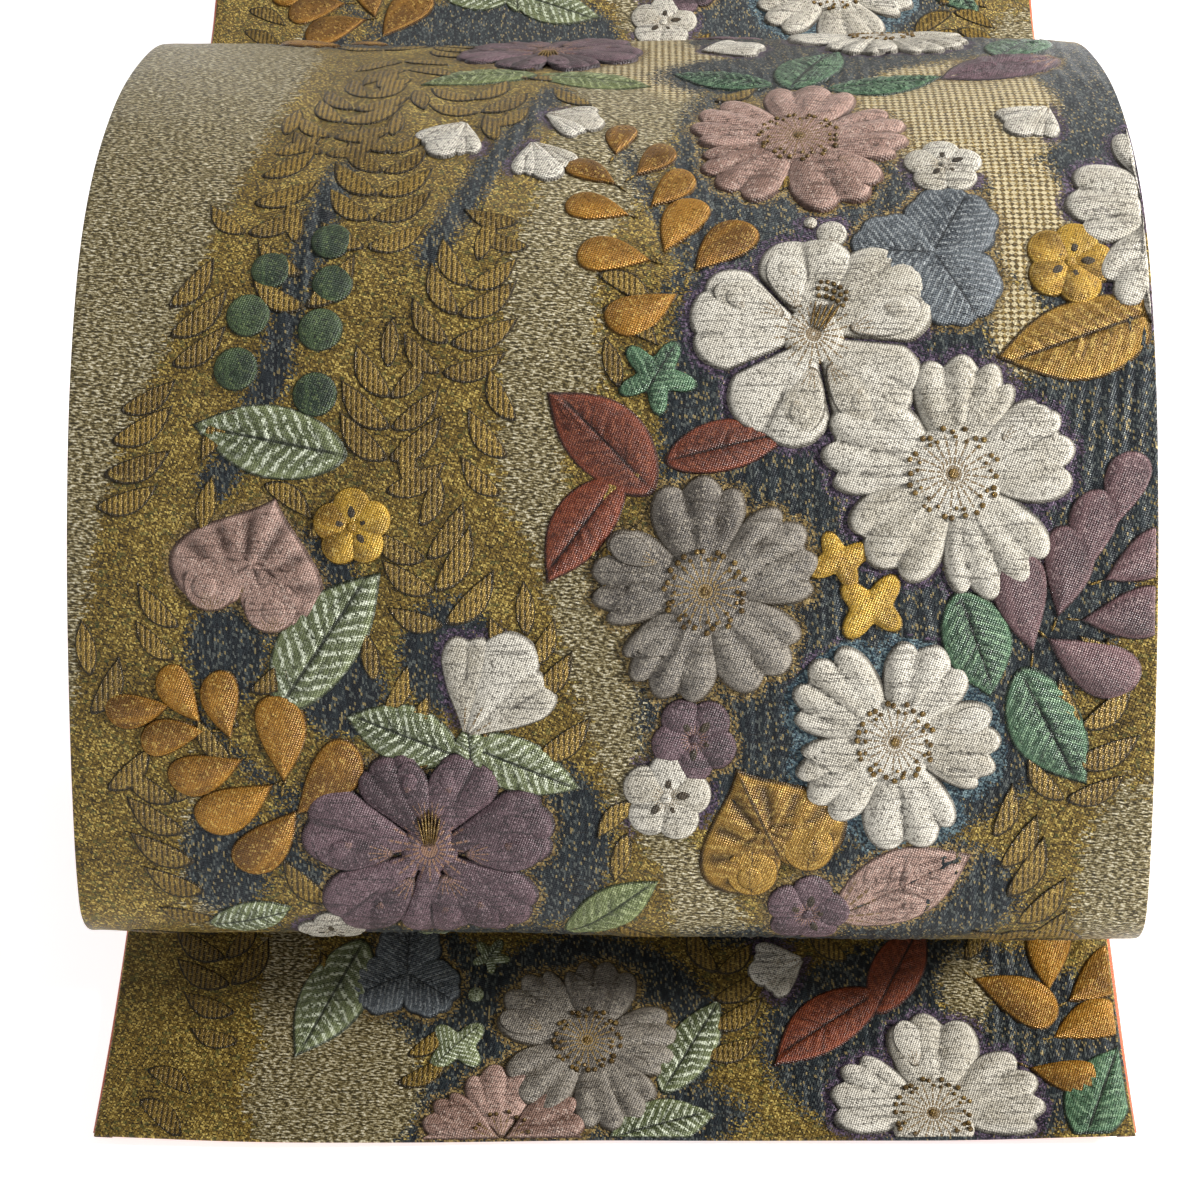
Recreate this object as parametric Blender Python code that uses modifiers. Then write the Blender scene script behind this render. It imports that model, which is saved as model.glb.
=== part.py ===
"""A double-woven obi sash, folded into its drum shape and lying on a table.

Metres, +Z up, +Y away from the front. The cloth runs as one long strip:
the tail end lies on the table at the front, turns over under the drum,
comes forward again, rises as the drum, falls behind it, crosses the top of
the folded rest of the sash and turns under at the far end.

Every stretch has an outer brocade and a plain lining, as the sash is sewn.
A stretch is a grid laid along the strip's side profile, then given its
thickness, so each one is a wall and the drum is hollow and open at its sides.
"""

import math

import bmesh
import bpy
from mathutils import Vector

# ---- sizes, in metres -------------------------------------------------
SASH_WIDTH = 0.310  # selvedge to selvedge
BROCADE = 0.0011  # thickness of the outer cloth
LINING = 0.0009  # thickness of the plain back cloth
SEAM_GAP = 0.0003  # between layers and between stretches
LINING_INSET = 0.0012  # the brocade is turned in past the lining at the sides
ACROSS = 8  # divisions across the width
PLY = BROCADE + SEAM_GAP + LINING

# ---- the strip's side profile, read on the brocade's outer face --------
# One row for each section: name, y and z in millimetres.
TAIL = (
    ("tip", -383.0, 2.5),
    ("end lies flat", -352.0, 2.6),
    ("starts to lift", -330.0, 3.6),
    ("under the drum's lip", -300.0, 5.2),
    ("under the hollow", -220.0, 4.2),
    ("flat again", -130.0, 3.2),
    ("before the turn", -68.0, 3.2),
)
RETURN = (
    ("before the turn", -68.0, 3.2),
    ("turn begins", -60.0, 3.2),
    ("turn, low", -54.6, 5.0),
    ("turn, outermost", -53.0, 8.2),
    ("turn, high", -55.4, 11.4),
    ("turn ends", -62.0, 13.0),
    ("lies back on the tail", -110.0, 8.6),
    ("on the tail", -190.0, 6.8),
    ("leaves the tail", -250.0, 8.4),
    ("rises", -283.0, 14.2),
    ("below the lip", -305.0, 22.5),
)
DRUM = (
    ("below the lip", -305.0, 22.5),
    ("lip, under", -326.0, 33.0),
    ("lip, round", -337.5, 45.0),
    ("lip, foremost", -340.5, 57.0),
    ("face, foot", -335.0, 69.0),
    ("face, low", -320.0, 88.0),
    ("face, third", -292.0, 117.0),
    ("face, middle", -261.0, 144.0),
    ("face, high", -225.0, 168.0),
    ("shoulder", -189.0, 182.5),
    ("crown", -158.0, 185.5),
    ("past the crown", -120.0, 179.0),
    ("back, high", -82.0, 164.0),
    ("back, seen last", -50.0, 146.0),
    ("back, middle", -25.0, 123.0),
    ("back, low", -2.0, 99.5),
    ("dip behind the drum", 15.0, 90.0),
)
TOP_BAND = (
    ("dip behind the drum", 15.0, 90.0),
    ("climbs the stack", 32.0, 91.8),
    ("stack's near edge", 50.0, 95.8),
    ("on the near folds", 80.0, 98.6),
    ("sags", 150.0, 94.0),
    ("middle", 220.0, 92.0),
    ("rises again", 300.0, 95.0),
    ("on the far folds", 347.0, 98.0),
    ("far turn begins", 368.0, 96.6),
    ("far turn, high", 380.6, 92.6),
    ("far turn, outermost", 385.1, 86.5),
    ("far turn, low", 380.6, 80.4),
    ("far turn ends", 368.0, 77.0),
    ("tucked in", 347.0, 76.4),
)
# a stretch is divided so that each piece is this long, or bends this much
LONGEST_STEP = 0.0165
MOST_BEND = math.radians(21)

# ---- small unevenness across the width ---------------------------------
LIP_SLANT = 0.0022  # the drum's lip is this much lower at +X, and higher at -X
TIP_CURL = 0.0030  # the tail's corners lift this much
TIP_REACH = 0.045  # over this much of its length

# ---- the folded rest of the sash ---------------------------------------
STACK_LAYERS = 8
STACK_NEAR, STACK_FAR = 0.026, 0.374
STACK_TOP_END = 0.330  # the top layer stops here, where the band is tucked in
TUCK_ROOM = 0.0708  # height of the layers below the tucked end
FOLD_BULGE = 0.006  # how far a turned edge swells
SIDE_GROOVE = 0.0030  # how deep the gaps between layers show at the sides
STACK_CLEAR = 0.0012  # under the band
STACK_ALONG, STACK_ACROSS = 14, 4
RINGS_A_LAYER = 3


def catmull(points, per_span=16):
    """A smooth line through the points, as many short straight pieces."""
    pts = [Vector(p) for p in points]
    pts = [2 * pts[0] - pts[1]] + pts + [2 * pts[-1] - pts[-2]]
    out = []
    for a, b, c, d in zip(pts, pts[1:], pts[2:], pts[3:]):
        ta = 0.0
        tb = ta + math.sqrt((b - a).length)
        tc = tb + math.sqrt((c - b).length)
        td = tc + math.sqrt((d - c).length)
        for k in range(per_span):
            t = tb + (tc - tb) * k / per_span
            ab = a * ((tb - t) / (tb - ta)) + b * ((t - ta) / (tb - ta))
            bc = b * ((tc - t) / (tc - tb)) + c * ((t - tb) / (tc - tb))
            cd = c * ((td - t) / (td - tc)) + d * ((t - tc) / (td - tc))
            abc = ab * ((tc - t) / (tc - ta)) + bc * ((t - ta) / (tc - ta))
            bcd = bc * ((td - t) / (td - tb)) + cd * ((t - tb) / (td - tb))
            out.append(abc * ((tc - t) / (tc - tb)) + bcd * ((t - tb) / (tc - tb)))
    out.append(pts[-2])
    return out


class Profile:
    """The side profile of one stretch, walked by length."""

    def __init__(self, rows):
        self.line = catmull([(y / 1000, z / 1000) for _, y, z in rows])
        self.at = [0.0]
        for a, b in zip(self.line, self.line[1:]):
            self.at.append(self.at[-1] + (b - a).length)
        self.length = self.at[-1]

    def point(self, s):
        s = min(max(s, 0.0), self.length)
        i = 0
        while i < len(self.at) - 2 and self.at[i + 1] < s:
            i += 1
        k = (s - self.at[i]) / (self.at[i + 1] - self.at[i])
        return self.line[i].lerp(self.line[i + 1], k)

    def heading(self, s):
        h = 0.0012
        return (self.point(s + h) - self.point(s - h)).normalized()

    def divide(self, start, end):
        """Lengths from start to end, close together where the line bends."""
        fine = [start + (end - start) * k / 600 for k in range(601)]
        cost = [0.0]
        for a, b in zip(fine, fine[1:]):
            bend = self.heading(a).angle(self.heading(b))
            cost.append(cost[-1] + (b - a) / LONGEST_STEP + bend / MOST_BEND)
        count = math.ceil(cost[-1])
        marks, i = [], 0
        for k in range(count + 1):
            want = cost[-1] * k / count
            while i < 599 and cost[i + 1] < want:
                i += 1
            share = (want - cost[i]) / (cost[i + 1] - cost[i])
            marks.append(fine[i] + (fine[i + 1] - fine[i]) * min(max(share, 0.0), 1.0))
        return marks


def unevenness(stretch, y, z, x):
    """How far a point of the cloth is moved off the plain profile."""
    side = x / (SASH_WIDTH / 2)
    dy = dz = 0.0
    if stretch in ("drum", "return"):
        near_lip = math.exp(-(((y + 0.335) / 0.05) ** 2))
        dz -= LIP_SLANT * side * near_lip
        dz += 0.0009 * near_lip * math.cos(5.0 * side + 0.8)
    if stretch == "drum":
        on_face = max(0.0, min(1.0, (z - 0.06) / 0.05, (0.015 - y) / 0.06))
        dz += on_face * 0.0008 * math.sin(4.1 * side + y * 21.0)
        dz -= on_face * 0.0012 * side * side
    if stretch == "tail":
        reach = max(0.0, 1 - (y + 0.383) / TIP_REACH)
        dz += TIP_CURL * reach**2 * abs(side) ** 3
        dz += 0.0006 * reach * (1 + math.cos(3.3 * side + 2.0))
        dy -= reach * (0.0017 * math.exp(-(((side + 0.6) / 0.35) ** 2)) - 0.0006 * side)
    if stretch == "band":
        dz += 0.0010 * math.cos(3.0 * side + y * 14.0) * min(1.0, max(0.0, (y - 0.015) / 0.05))
    return dy, dz


def material(name, colour, roughness, metallic):
    mat = bpy.data.materials.new(name)
    mat.use_nodes = True
    shader = mat.node_tree.nodes["Principled BSDF"]
    shader.inputs["Base Color"].default_value = (*colour, 1)
    shader.inputs["Roughness"].default_value = roughness
    shader.inputs["Metallic"].default_value = metallic
    return mat


def cloth(name, rows, stretch, side, depth, thickness, half_width, mat, trim=(0, 0)):
    """One layer of one stretch. side is +1 where the brocade's outer face is
    to the left of the direction of travel, seen with +Y to the right, depth is
    how far under that face the layer starts, and trim shortens its two ends."""
    profile = Profile(rows)
    marks = profile.divide(trim[0], profile.length - trim[1])
    along = len(marks) - 1
    bm = bmesh.new()
    bmesh.ops.create_grid(bm, x_segments=ACROSS, y_segments=along, size=0.5)
    bm.faces.ensure_lookup_table()
    first = min(bm.faces, key=lambda f: f.calc_center_median().y)
    h = profile.heading((marks[0] + marks[1]) / 2)
    for v in bm.verts:
        x = 2 * v.co.x * half_width
        s = marks[round((v.co.y + 0.5) * along)]
        p, way = profile.point(s), profile.heading(s)
        out = Vector((-way.y, way.x)) * side
        p = p - out * depth
        dy, dz = unevenness(stretch, p.x, p.y, x)
        v.co = Vector((x, p.x + dy, p.y + dz))
    bm.normal_update()
    if first.normal.dot(Vector((0, -h.y * side, h.x * side))) < 0:
        bmesh.ops.reverse_faces(bm, faces=bm.faces)
    mesh = bpy.data.meshes.new(name)
    bm.to_mesh(mesh)
    bm.free()
    mesh.materials.append(mat)
    obj = bpy.data.objects.new(name, mesh)
    home.objects.link(obj)
    wall = obj.modifiers.new("wall", "SOLIDIFY")
    wall.thickness = thickness
    wall.offset = -1
    wall.use_even_offset = True
    wall.use_rim = True
    mesh.shade_smooth()
    mesh.set_sharp_from_angle(angle=math.radians(40))
    return obj


def band_under(y):
    """Height of the band's underside over the stack, from its own profile."""
    best, z = 1e9, 0.0
    for p in band_line:
        if p.x > 0.020 and p.y > 0.088 and abs(p.x - y) < best:
            best, z = abs(p.x - y), p.y
    return z - PLY - STACK_CLEAR - 0.0010


def stack_top(y):
    edge = min(1.0, max(0.0, (y - STACK_NEAR) / 0.030))
    return band_under(max(y, 0.045)) - 0.006 * (1 - edge) ** 2


def bulge(share):
    """0 at the gap between two folds, 1 at the middle of a fold."""
    return math.sqrt(max(0.0, 1 - (2 * share - 1) ** 2))


def folded_rest(mat):
    """The rest of the sash, zigzagged into a stack: one solid, with its turned
    edges at the near and far ends and the gaps between layers at the sides."""
    pitch = 1.0 / STACK_LAYERS
    levels = [
        (k + r / RINGS_A_LAYER) * pitch
        for k in range(STACK_LAYERS)
        for r in range(RINGS_A_LAYER)
    ] + [1.0]
    bm = bmesh.new()
    rings = []
    for level in levels:
        layers = level / pitch
        in_gap = abs(layers - round(layers)) < 0.05
        # near turns join layers 1-2, 3-4...; far turns join 0-1, 2-3...
        near = STACK_NEAR - FOLD_BULGE * bulge(((layers + 1) / 2) % 1.0)
        far = STACK_FAR + FOLD_BULGE * bulge((layers / 2) % 1.0)
        wobble = 0.0014 * math.sin(2.3 * math.floor(layers) + 0.7)
        near += wobble
        far = min(far - 1.3 * wobble, 0.3815)
        if layers > STACK_LAYERS - 1.4:
            far = STACK_TOP_END
        half = SASH_WIDTH / 2 - (SIDE_GROOVE if in_gap else 0.0004)
        if level == 0.0 or level == 1.0:
            near += 0.004
            far -= 0.004
        ring = []
        for i in range(2 * (STACK_ALONG + STACK_ACROSS)):
            if i < STACK_ALONG:
                x, u = -half, i / STACK_ALONG
            elif i < STACK_ALONG + STACK_ACROSS:
                x, u = -half + 2 * half * (i - STACK_ALONG) / STACK_ACROSS, 1.0
            elif i < 2 * STACK_ALONG + STACK_ACROSS:
                x, u = half, 1 - (i - STACK_ALONG - STACK_ACROSS) / STACK_ALONG
            else:
                x = half - 2 * half * (i - 2 * STACK_ALONG - STACK_ACROSS) / STACK_ACROSS
                u = 0.0
            y = near + (far - near) * u
            top = stack_top(min(max(y, STACK_NEAR), 0.345))
            if layers <= STACK_LAYERS - 1.4:
                # under the tucked end of the band the layers stay below it
                room = TUCK_ROOM / (1 - 1.66 * pitch)
                blend = min(1.0, max(0.0, (y - 0.24) / 0.08))
                top = top + (min(top, room) - top) * blend
            ring.append(bm.verts.new((x, y, level * top)))
        rings.append(ring)
    count = len(rings[0])
    for a, b in zip(rings, rings[1:]):
        for i in range(count):
            j = (i + 1) % count
            bm.faces.new((a[i], a[j], b[j], b[i]))
    # the flat underside and the sagging top, as grids across the rings
    for ring, z_of in ((rings[0], lambda y: 0.0), (rings[-1], None)):
        left = ring[: STACK_ALONG + 1]
        right = [ring[(2 * STACK_ALONG + STACK_ACROSS - i) % count] for i in range(STACK_ALONG + 1)]
        rows = []
        for i in range(STACK_ALONG + 1):
            if i == 0:
                row = [left[0]] + [ring[count - k] for k in range(1, STACK_ACROSS)] + [right[0]]
            elif i == STACK_ALONG:
                row = [ring[STACK_ALONG + k] for k in range(STACK_ACROSS)] + [right[-1]]
            else:
                row = [left[i]]
                for k in range(1, STACK_ACROSS):
                    p = left[i].co.lerp(right[i].co, k / STACK_ACROSS)
                    row.append(bm.verts.new(p))
                row.append(right[i])
            rows.append(row)
        for a, b in zip(rows, rows[1:]):
            for k in range(STACK_ACROSS):
                bm.faces.new((a[k], a[k + 1], b[k + 1], b[k]))
    bmesh.ops.recalc_face_normals(bm, faces=bm.faces)
    mesh = bpy.data.meshes.new("folded_rest")
    bm.to_mesh(mesh)
    bm.free()
    mesh.materials.append(mat)
    mesh.shade_smooth()
    mesh.set_sharp_from_angle(angle=math.radians(35))
    obj = bpy.data.objects.new("folded_rest", mesh)
    home.objects.link(obj)
    return obj


# ---- build --------------------------------------------------------------
for old in list(bpy.data.objects):
    bpy.data.objects.remove(old)
home = bpy.data.collections.new("obi_sash")
bpy.context.scene.collection.children.link(home)

band_line = Profile(TOP_BAND).line

gold = (0.36, 0.27, 0.08)
stretches = (
    # name, rows, stretch, side of the brocade's outer face, brocade colour
    ("tail", TAIL, "tail", 1, (0.30, 0.23, 0.08)),
    ("inner_return", RETURN, "return", 1, (0.27, 0.21, 0.07)),
    ("drum", DRUM, "drum", 1, gold),
    ("top_band", TOP_BAND, "band", 1, (0.33, 0.25, 0.08)),
)
for name, rows, stretch, side, colour in stretches:
    # a gap of 0.3 mm where one stretch goes on from another
    trim = (0.0 if name == "tail" else SEAM_GAP / 2, SEAM_GAP / 2)
    cloth(
        name + "_brocade", rows, stretch, side, 0.0, BROCADE, SASH_WIDTH / 2,
        material(name + "_brocade", colour, 0.42, 0.35), trim,
    )
    lining_trim = (0.0018 if name == "tail" else trim[0], trim[1])
    cloth(
        name + "_lining", rows, stretch, side, BROCADE + SEAM_GAP, LINING,
        SASH_WIDTH / 2 - LINING_INSET,
        material(name + "_lining", (0.62, 0.20, 0.07), 0.55, 0.0), lining_trim,
    )
folded_rest(material("folded_rest", (0.34, 0.25, 0.08), 0.5, 0.3))
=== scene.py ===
"""The obi sash's looks: brocade, lining, raised figures, folded rest.

Every place on the cloth is charted in millimetres: u across the sash, from
-155 to 155, and s along the strip's outer face. A chart place becomes a
place in space through the strip's side profile, the same one that the CAD has.
"""

import math

import bpy
import numpy as np
from mathutils import Matrix, Vector, kdtree


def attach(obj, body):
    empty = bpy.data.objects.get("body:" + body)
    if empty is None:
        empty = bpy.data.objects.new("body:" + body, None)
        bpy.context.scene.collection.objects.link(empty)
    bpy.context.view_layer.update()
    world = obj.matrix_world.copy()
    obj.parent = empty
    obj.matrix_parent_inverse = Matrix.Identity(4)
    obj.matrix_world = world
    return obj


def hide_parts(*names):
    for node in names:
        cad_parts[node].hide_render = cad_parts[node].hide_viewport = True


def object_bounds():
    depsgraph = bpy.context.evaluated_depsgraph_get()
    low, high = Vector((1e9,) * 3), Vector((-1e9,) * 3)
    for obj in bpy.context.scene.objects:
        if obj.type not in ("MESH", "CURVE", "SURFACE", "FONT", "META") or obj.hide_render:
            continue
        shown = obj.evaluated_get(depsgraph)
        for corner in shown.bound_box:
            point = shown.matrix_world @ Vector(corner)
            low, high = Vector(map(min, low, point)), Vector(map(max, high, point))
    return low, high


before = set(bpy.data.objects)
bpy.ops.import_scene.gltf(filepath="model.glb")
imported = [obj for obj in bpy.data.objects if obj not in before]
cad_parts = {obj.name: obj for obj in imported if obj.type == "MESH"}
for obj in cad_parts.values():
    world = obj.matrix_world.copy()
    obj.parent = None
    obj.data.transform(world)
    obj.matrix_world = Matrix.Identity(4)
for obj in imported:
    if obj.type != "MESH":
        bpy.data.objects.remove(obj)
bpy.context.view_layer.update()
TAU = 2 * math.pi
PI = math.pi

# ---- sizes, in millimetres ----------------------------------------------
SASH_WIDTH = 310.0
HALF = SASH_WIDTH / 2
BROCADE = 1.1
PLY = 2.3
FINE = 1.25  # the weave's grid where the figure is seen closest
REPEAT = 409.0  # the woven figure comes round again after this length
BAND_SHIFT = 79.0  # a place s on the top band shows the figure at s + this

# the strip's side profile on the brocade's outer face: y, z
TAIL = (
    (-383.0, 2.5), (-352.0, 2.6), (-330.0, 3.6), (-300.0, 5.2),
    (-220.0, 4.2), (-130.0, 3.2), (-68.0, 3.2),
)
RETURN = (
    (-68.0, 3.2), (-60.0, 3.2), (-54.6, 5.0), (-53.0, 8.2), (-55.4, 11.4), (-62.0, 13.0),
    (-110.0, 8.6), (-190.0, 6.8), (-250.0, 8.4), (-283.0, 14.2), (-305.0, 22.5),
)
DRUM = (
    (-305.0, 22.5), (-326.0, 33.0), (-337.5, 45.0), (-340.5, 57.0), (-335.0, 69.0),
    (-320.0, 88.0), (-292.0, 117.0), (-261.0, 144.0), (-225.0, 168.0),
    (-189.0, 182.5), (-158.0, 185.5), (-120.0, 179.0), (-82.0, 164.0),
    (-50.0, 146.0), (-25.0, 123.0), (-2.0, 99.5), (15.0, 90.0),
)
BAND = (
    (15.0, 90.0), (32.0, 91.8), (50.0, 95.8), (80.0, 98.6), (150.0, 94.0),
    (220.0, 92.0), (300.0, 95.0), (347.0, 98.0), (368.0, 96.6), (380.6, 92.6),
    (385.1, 86.5), (380.6, 80.4), (368.0, 77.0), (347.0, 76.4),
)


def catmull(rows, per_span=24):
    pts = [np.array(p, float) for p in rows]
    pts = [2 * pts[0] - pts[1]] + pts + [2 * pts[-1] - pts[-2]]
    out = []
    for a, b, c, d in zip(pts, pts[1:], pts[2:], pts[3:]):
        ta = 0.0
        tb = ta + math.sqrt(np.linalg.norm(b - a) / 1000)
        tc = tb + math.sqrt(np.linalg.norm(c - b) / 1000)
        td = tc + math.sqrt(np.linalg.norm(d - c) / 1000)
        for k in range(per_span):
            t = tb + (tc - tb) * k / per_span
            ab = a * ((tb - t) / (tb - ta)) + b * ((t - ta) / (tb - ta))
            bc = b * ((tc - t) / (tc - tb)) + c * ((t - tb) / (tc - tb))
            cd = c * ((td - t) / (td - tc)) + d * ((t - tc) / (td - tc))
            abc = ab * ((tc - t) / (tc - ta)) + bc * ((t - ta) / (tc - ta))
            bcd = bc * ((td - t) / (td - tb)) + cd * ((t - tb) / (td - tb))
            out.append(abc * ((tc - t) / (tc - tb)) + bcd * ((t - tb) / (tc - tb)))
    out.append(pts[-2])
    return np.array(out)


class Stretch:
    """One stretch of the strip: its profile, and the way from chart to space."""

    def __init__(self, name, rows, chart_shift, line=None):
        self.name = name
        self.line = catmull(rows) if line is None else line
        step = np.linalg.norm(np.diff(self.line, axis=0), axis=1)
        self.at = np.concatenate([[0.0], np.cumsum(step)])
        self.length = float(self.at[-1])
        self.chart_shift = chart_shift

    def point(self, s):
        y = np.interp(s, self.at, self.line[:, 0])
        z = np.interp(s, self.at, self.line[:, 1])
        return y, z

    def space(self, u, s, h):
        """Places in metres for chart places u, s at a height h off the face."""
        u, s, h = (np.asarray(a, float) for a in np.broadcast_arrays(u, s, h))
        sc = np.clip(s, 0, self.length)
        y, z = self.point(sc)
        y0, z0 = self.point(np.clip(sc - 1.6, 0, self.length))
        y1, z1 = self.point(np.clip(sc + 1.6, 0, self.length))
        dy, dz = y1 - y0, z1 - z0
        size = np.hypot(dy, dz)
        dy, dz = dy / size, dz / size
        over = s - sc
        y, z = y + dy * over, z + dz * over
        h = h + self.soft(u, s)
        y, z = y - dz * h, z + dy * h
        ey, ez = self.uneven(u, y, z)
        if self.name == "rest":
            u = u + 1.6 * np.sin(s / 151 + 0.5) * np.sin(s / 67)
        return np.stack([u, y + ey, z + ez], axis=-1) * 0.001

    def soft(self, u, s):
        """Slow swells and dents of the laid cloth."""
        if self.name == "drum":
            k = np.clip((s - 30) / 40, 0, 1) * np.clip((480 - s) / 60, 0, 1)
            return k * (
                0.55 * np.sin(u / 41 + s / 73 + 0.6)
                + 0.40 * np.sin(u / 23 - s / 57 + 1.9)
                + 0.28 * np.sin(u / 15.5 + s / 31)
            ) - 0.4 * k
        if self.name == "band":
            k = np.clip(s / 40, 0, 1) * np.clip((352 - s) / 30, 0, 1)
            return k * (0.5 * np.sin(u / 37 - s / 61) + 0.35 * np.sin(u / 19 + s / 44 + 1))
        if self.name == "tail":
            return 0.22 * np.sin(u / 21 + s / 33) + 0.16 * np.sin(u / 12 - s / 26 + 2)
        if self.name == "rest":
            k = np.clip(s / 60, 0, 1) * np.clip((self.length - 340 - s) / 60, 0, 1)
            return k * (0.7 * np.sin(u / 47 + s / 83) + 0.35 * np.sin(u / 21 - s / 49))
        return 0.0 * u

    def uneven(self, u, y, z):
        side = u / HALF
        ey, ez = 0 * u, 0 * u
        if self.name in ("drum", "return"):
            near_lip = np.exp(-(((y + 335) / 50) ** 2))
            ez = ez - 2.2 * side * near_lip + 0.9 * near_lip * np.cos(5 * side + 0.8)
        if self.name == "drum":
            face = np.clip(np.minimum((z - 60) / 50, (15 - y) / 60), 0, 1)
            ez = ez + face * 0.8 * np.sin(4.1 * side + y * 0.021) - face * 1.2 * side**2
        if self.name == "tail":
            reach = np.clip(1 - (y + 383) / 45, 0, None)
            ez = ez + 3.0 * reach**2 * np.abs(side) ** 3
            ez = ez + 0.6 * reach * (1 + np.cos(3.3 * side + 2.0))
            ey = ey - reach * (1.7 * np.exp(-(((side + 0.6) / 0.35) ** 2)) - 0.6 * side)
        if self.name == "band":
            ez = ez + np.cos(3 * side + y * 0.014) * np.clip((y - 15) / 50, 0, 1)
        return ey, ez


tail = Stretch("tail", TAIL, 0.0)
inner = Stretch("return", RETURN, 0.0)
drum = Stretch("drum", DRUM, 0.0)
band = Stretch("band", BAND, BAND_SHIFT)
inner.chart_shift = REPEAT - inner.length

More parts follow.
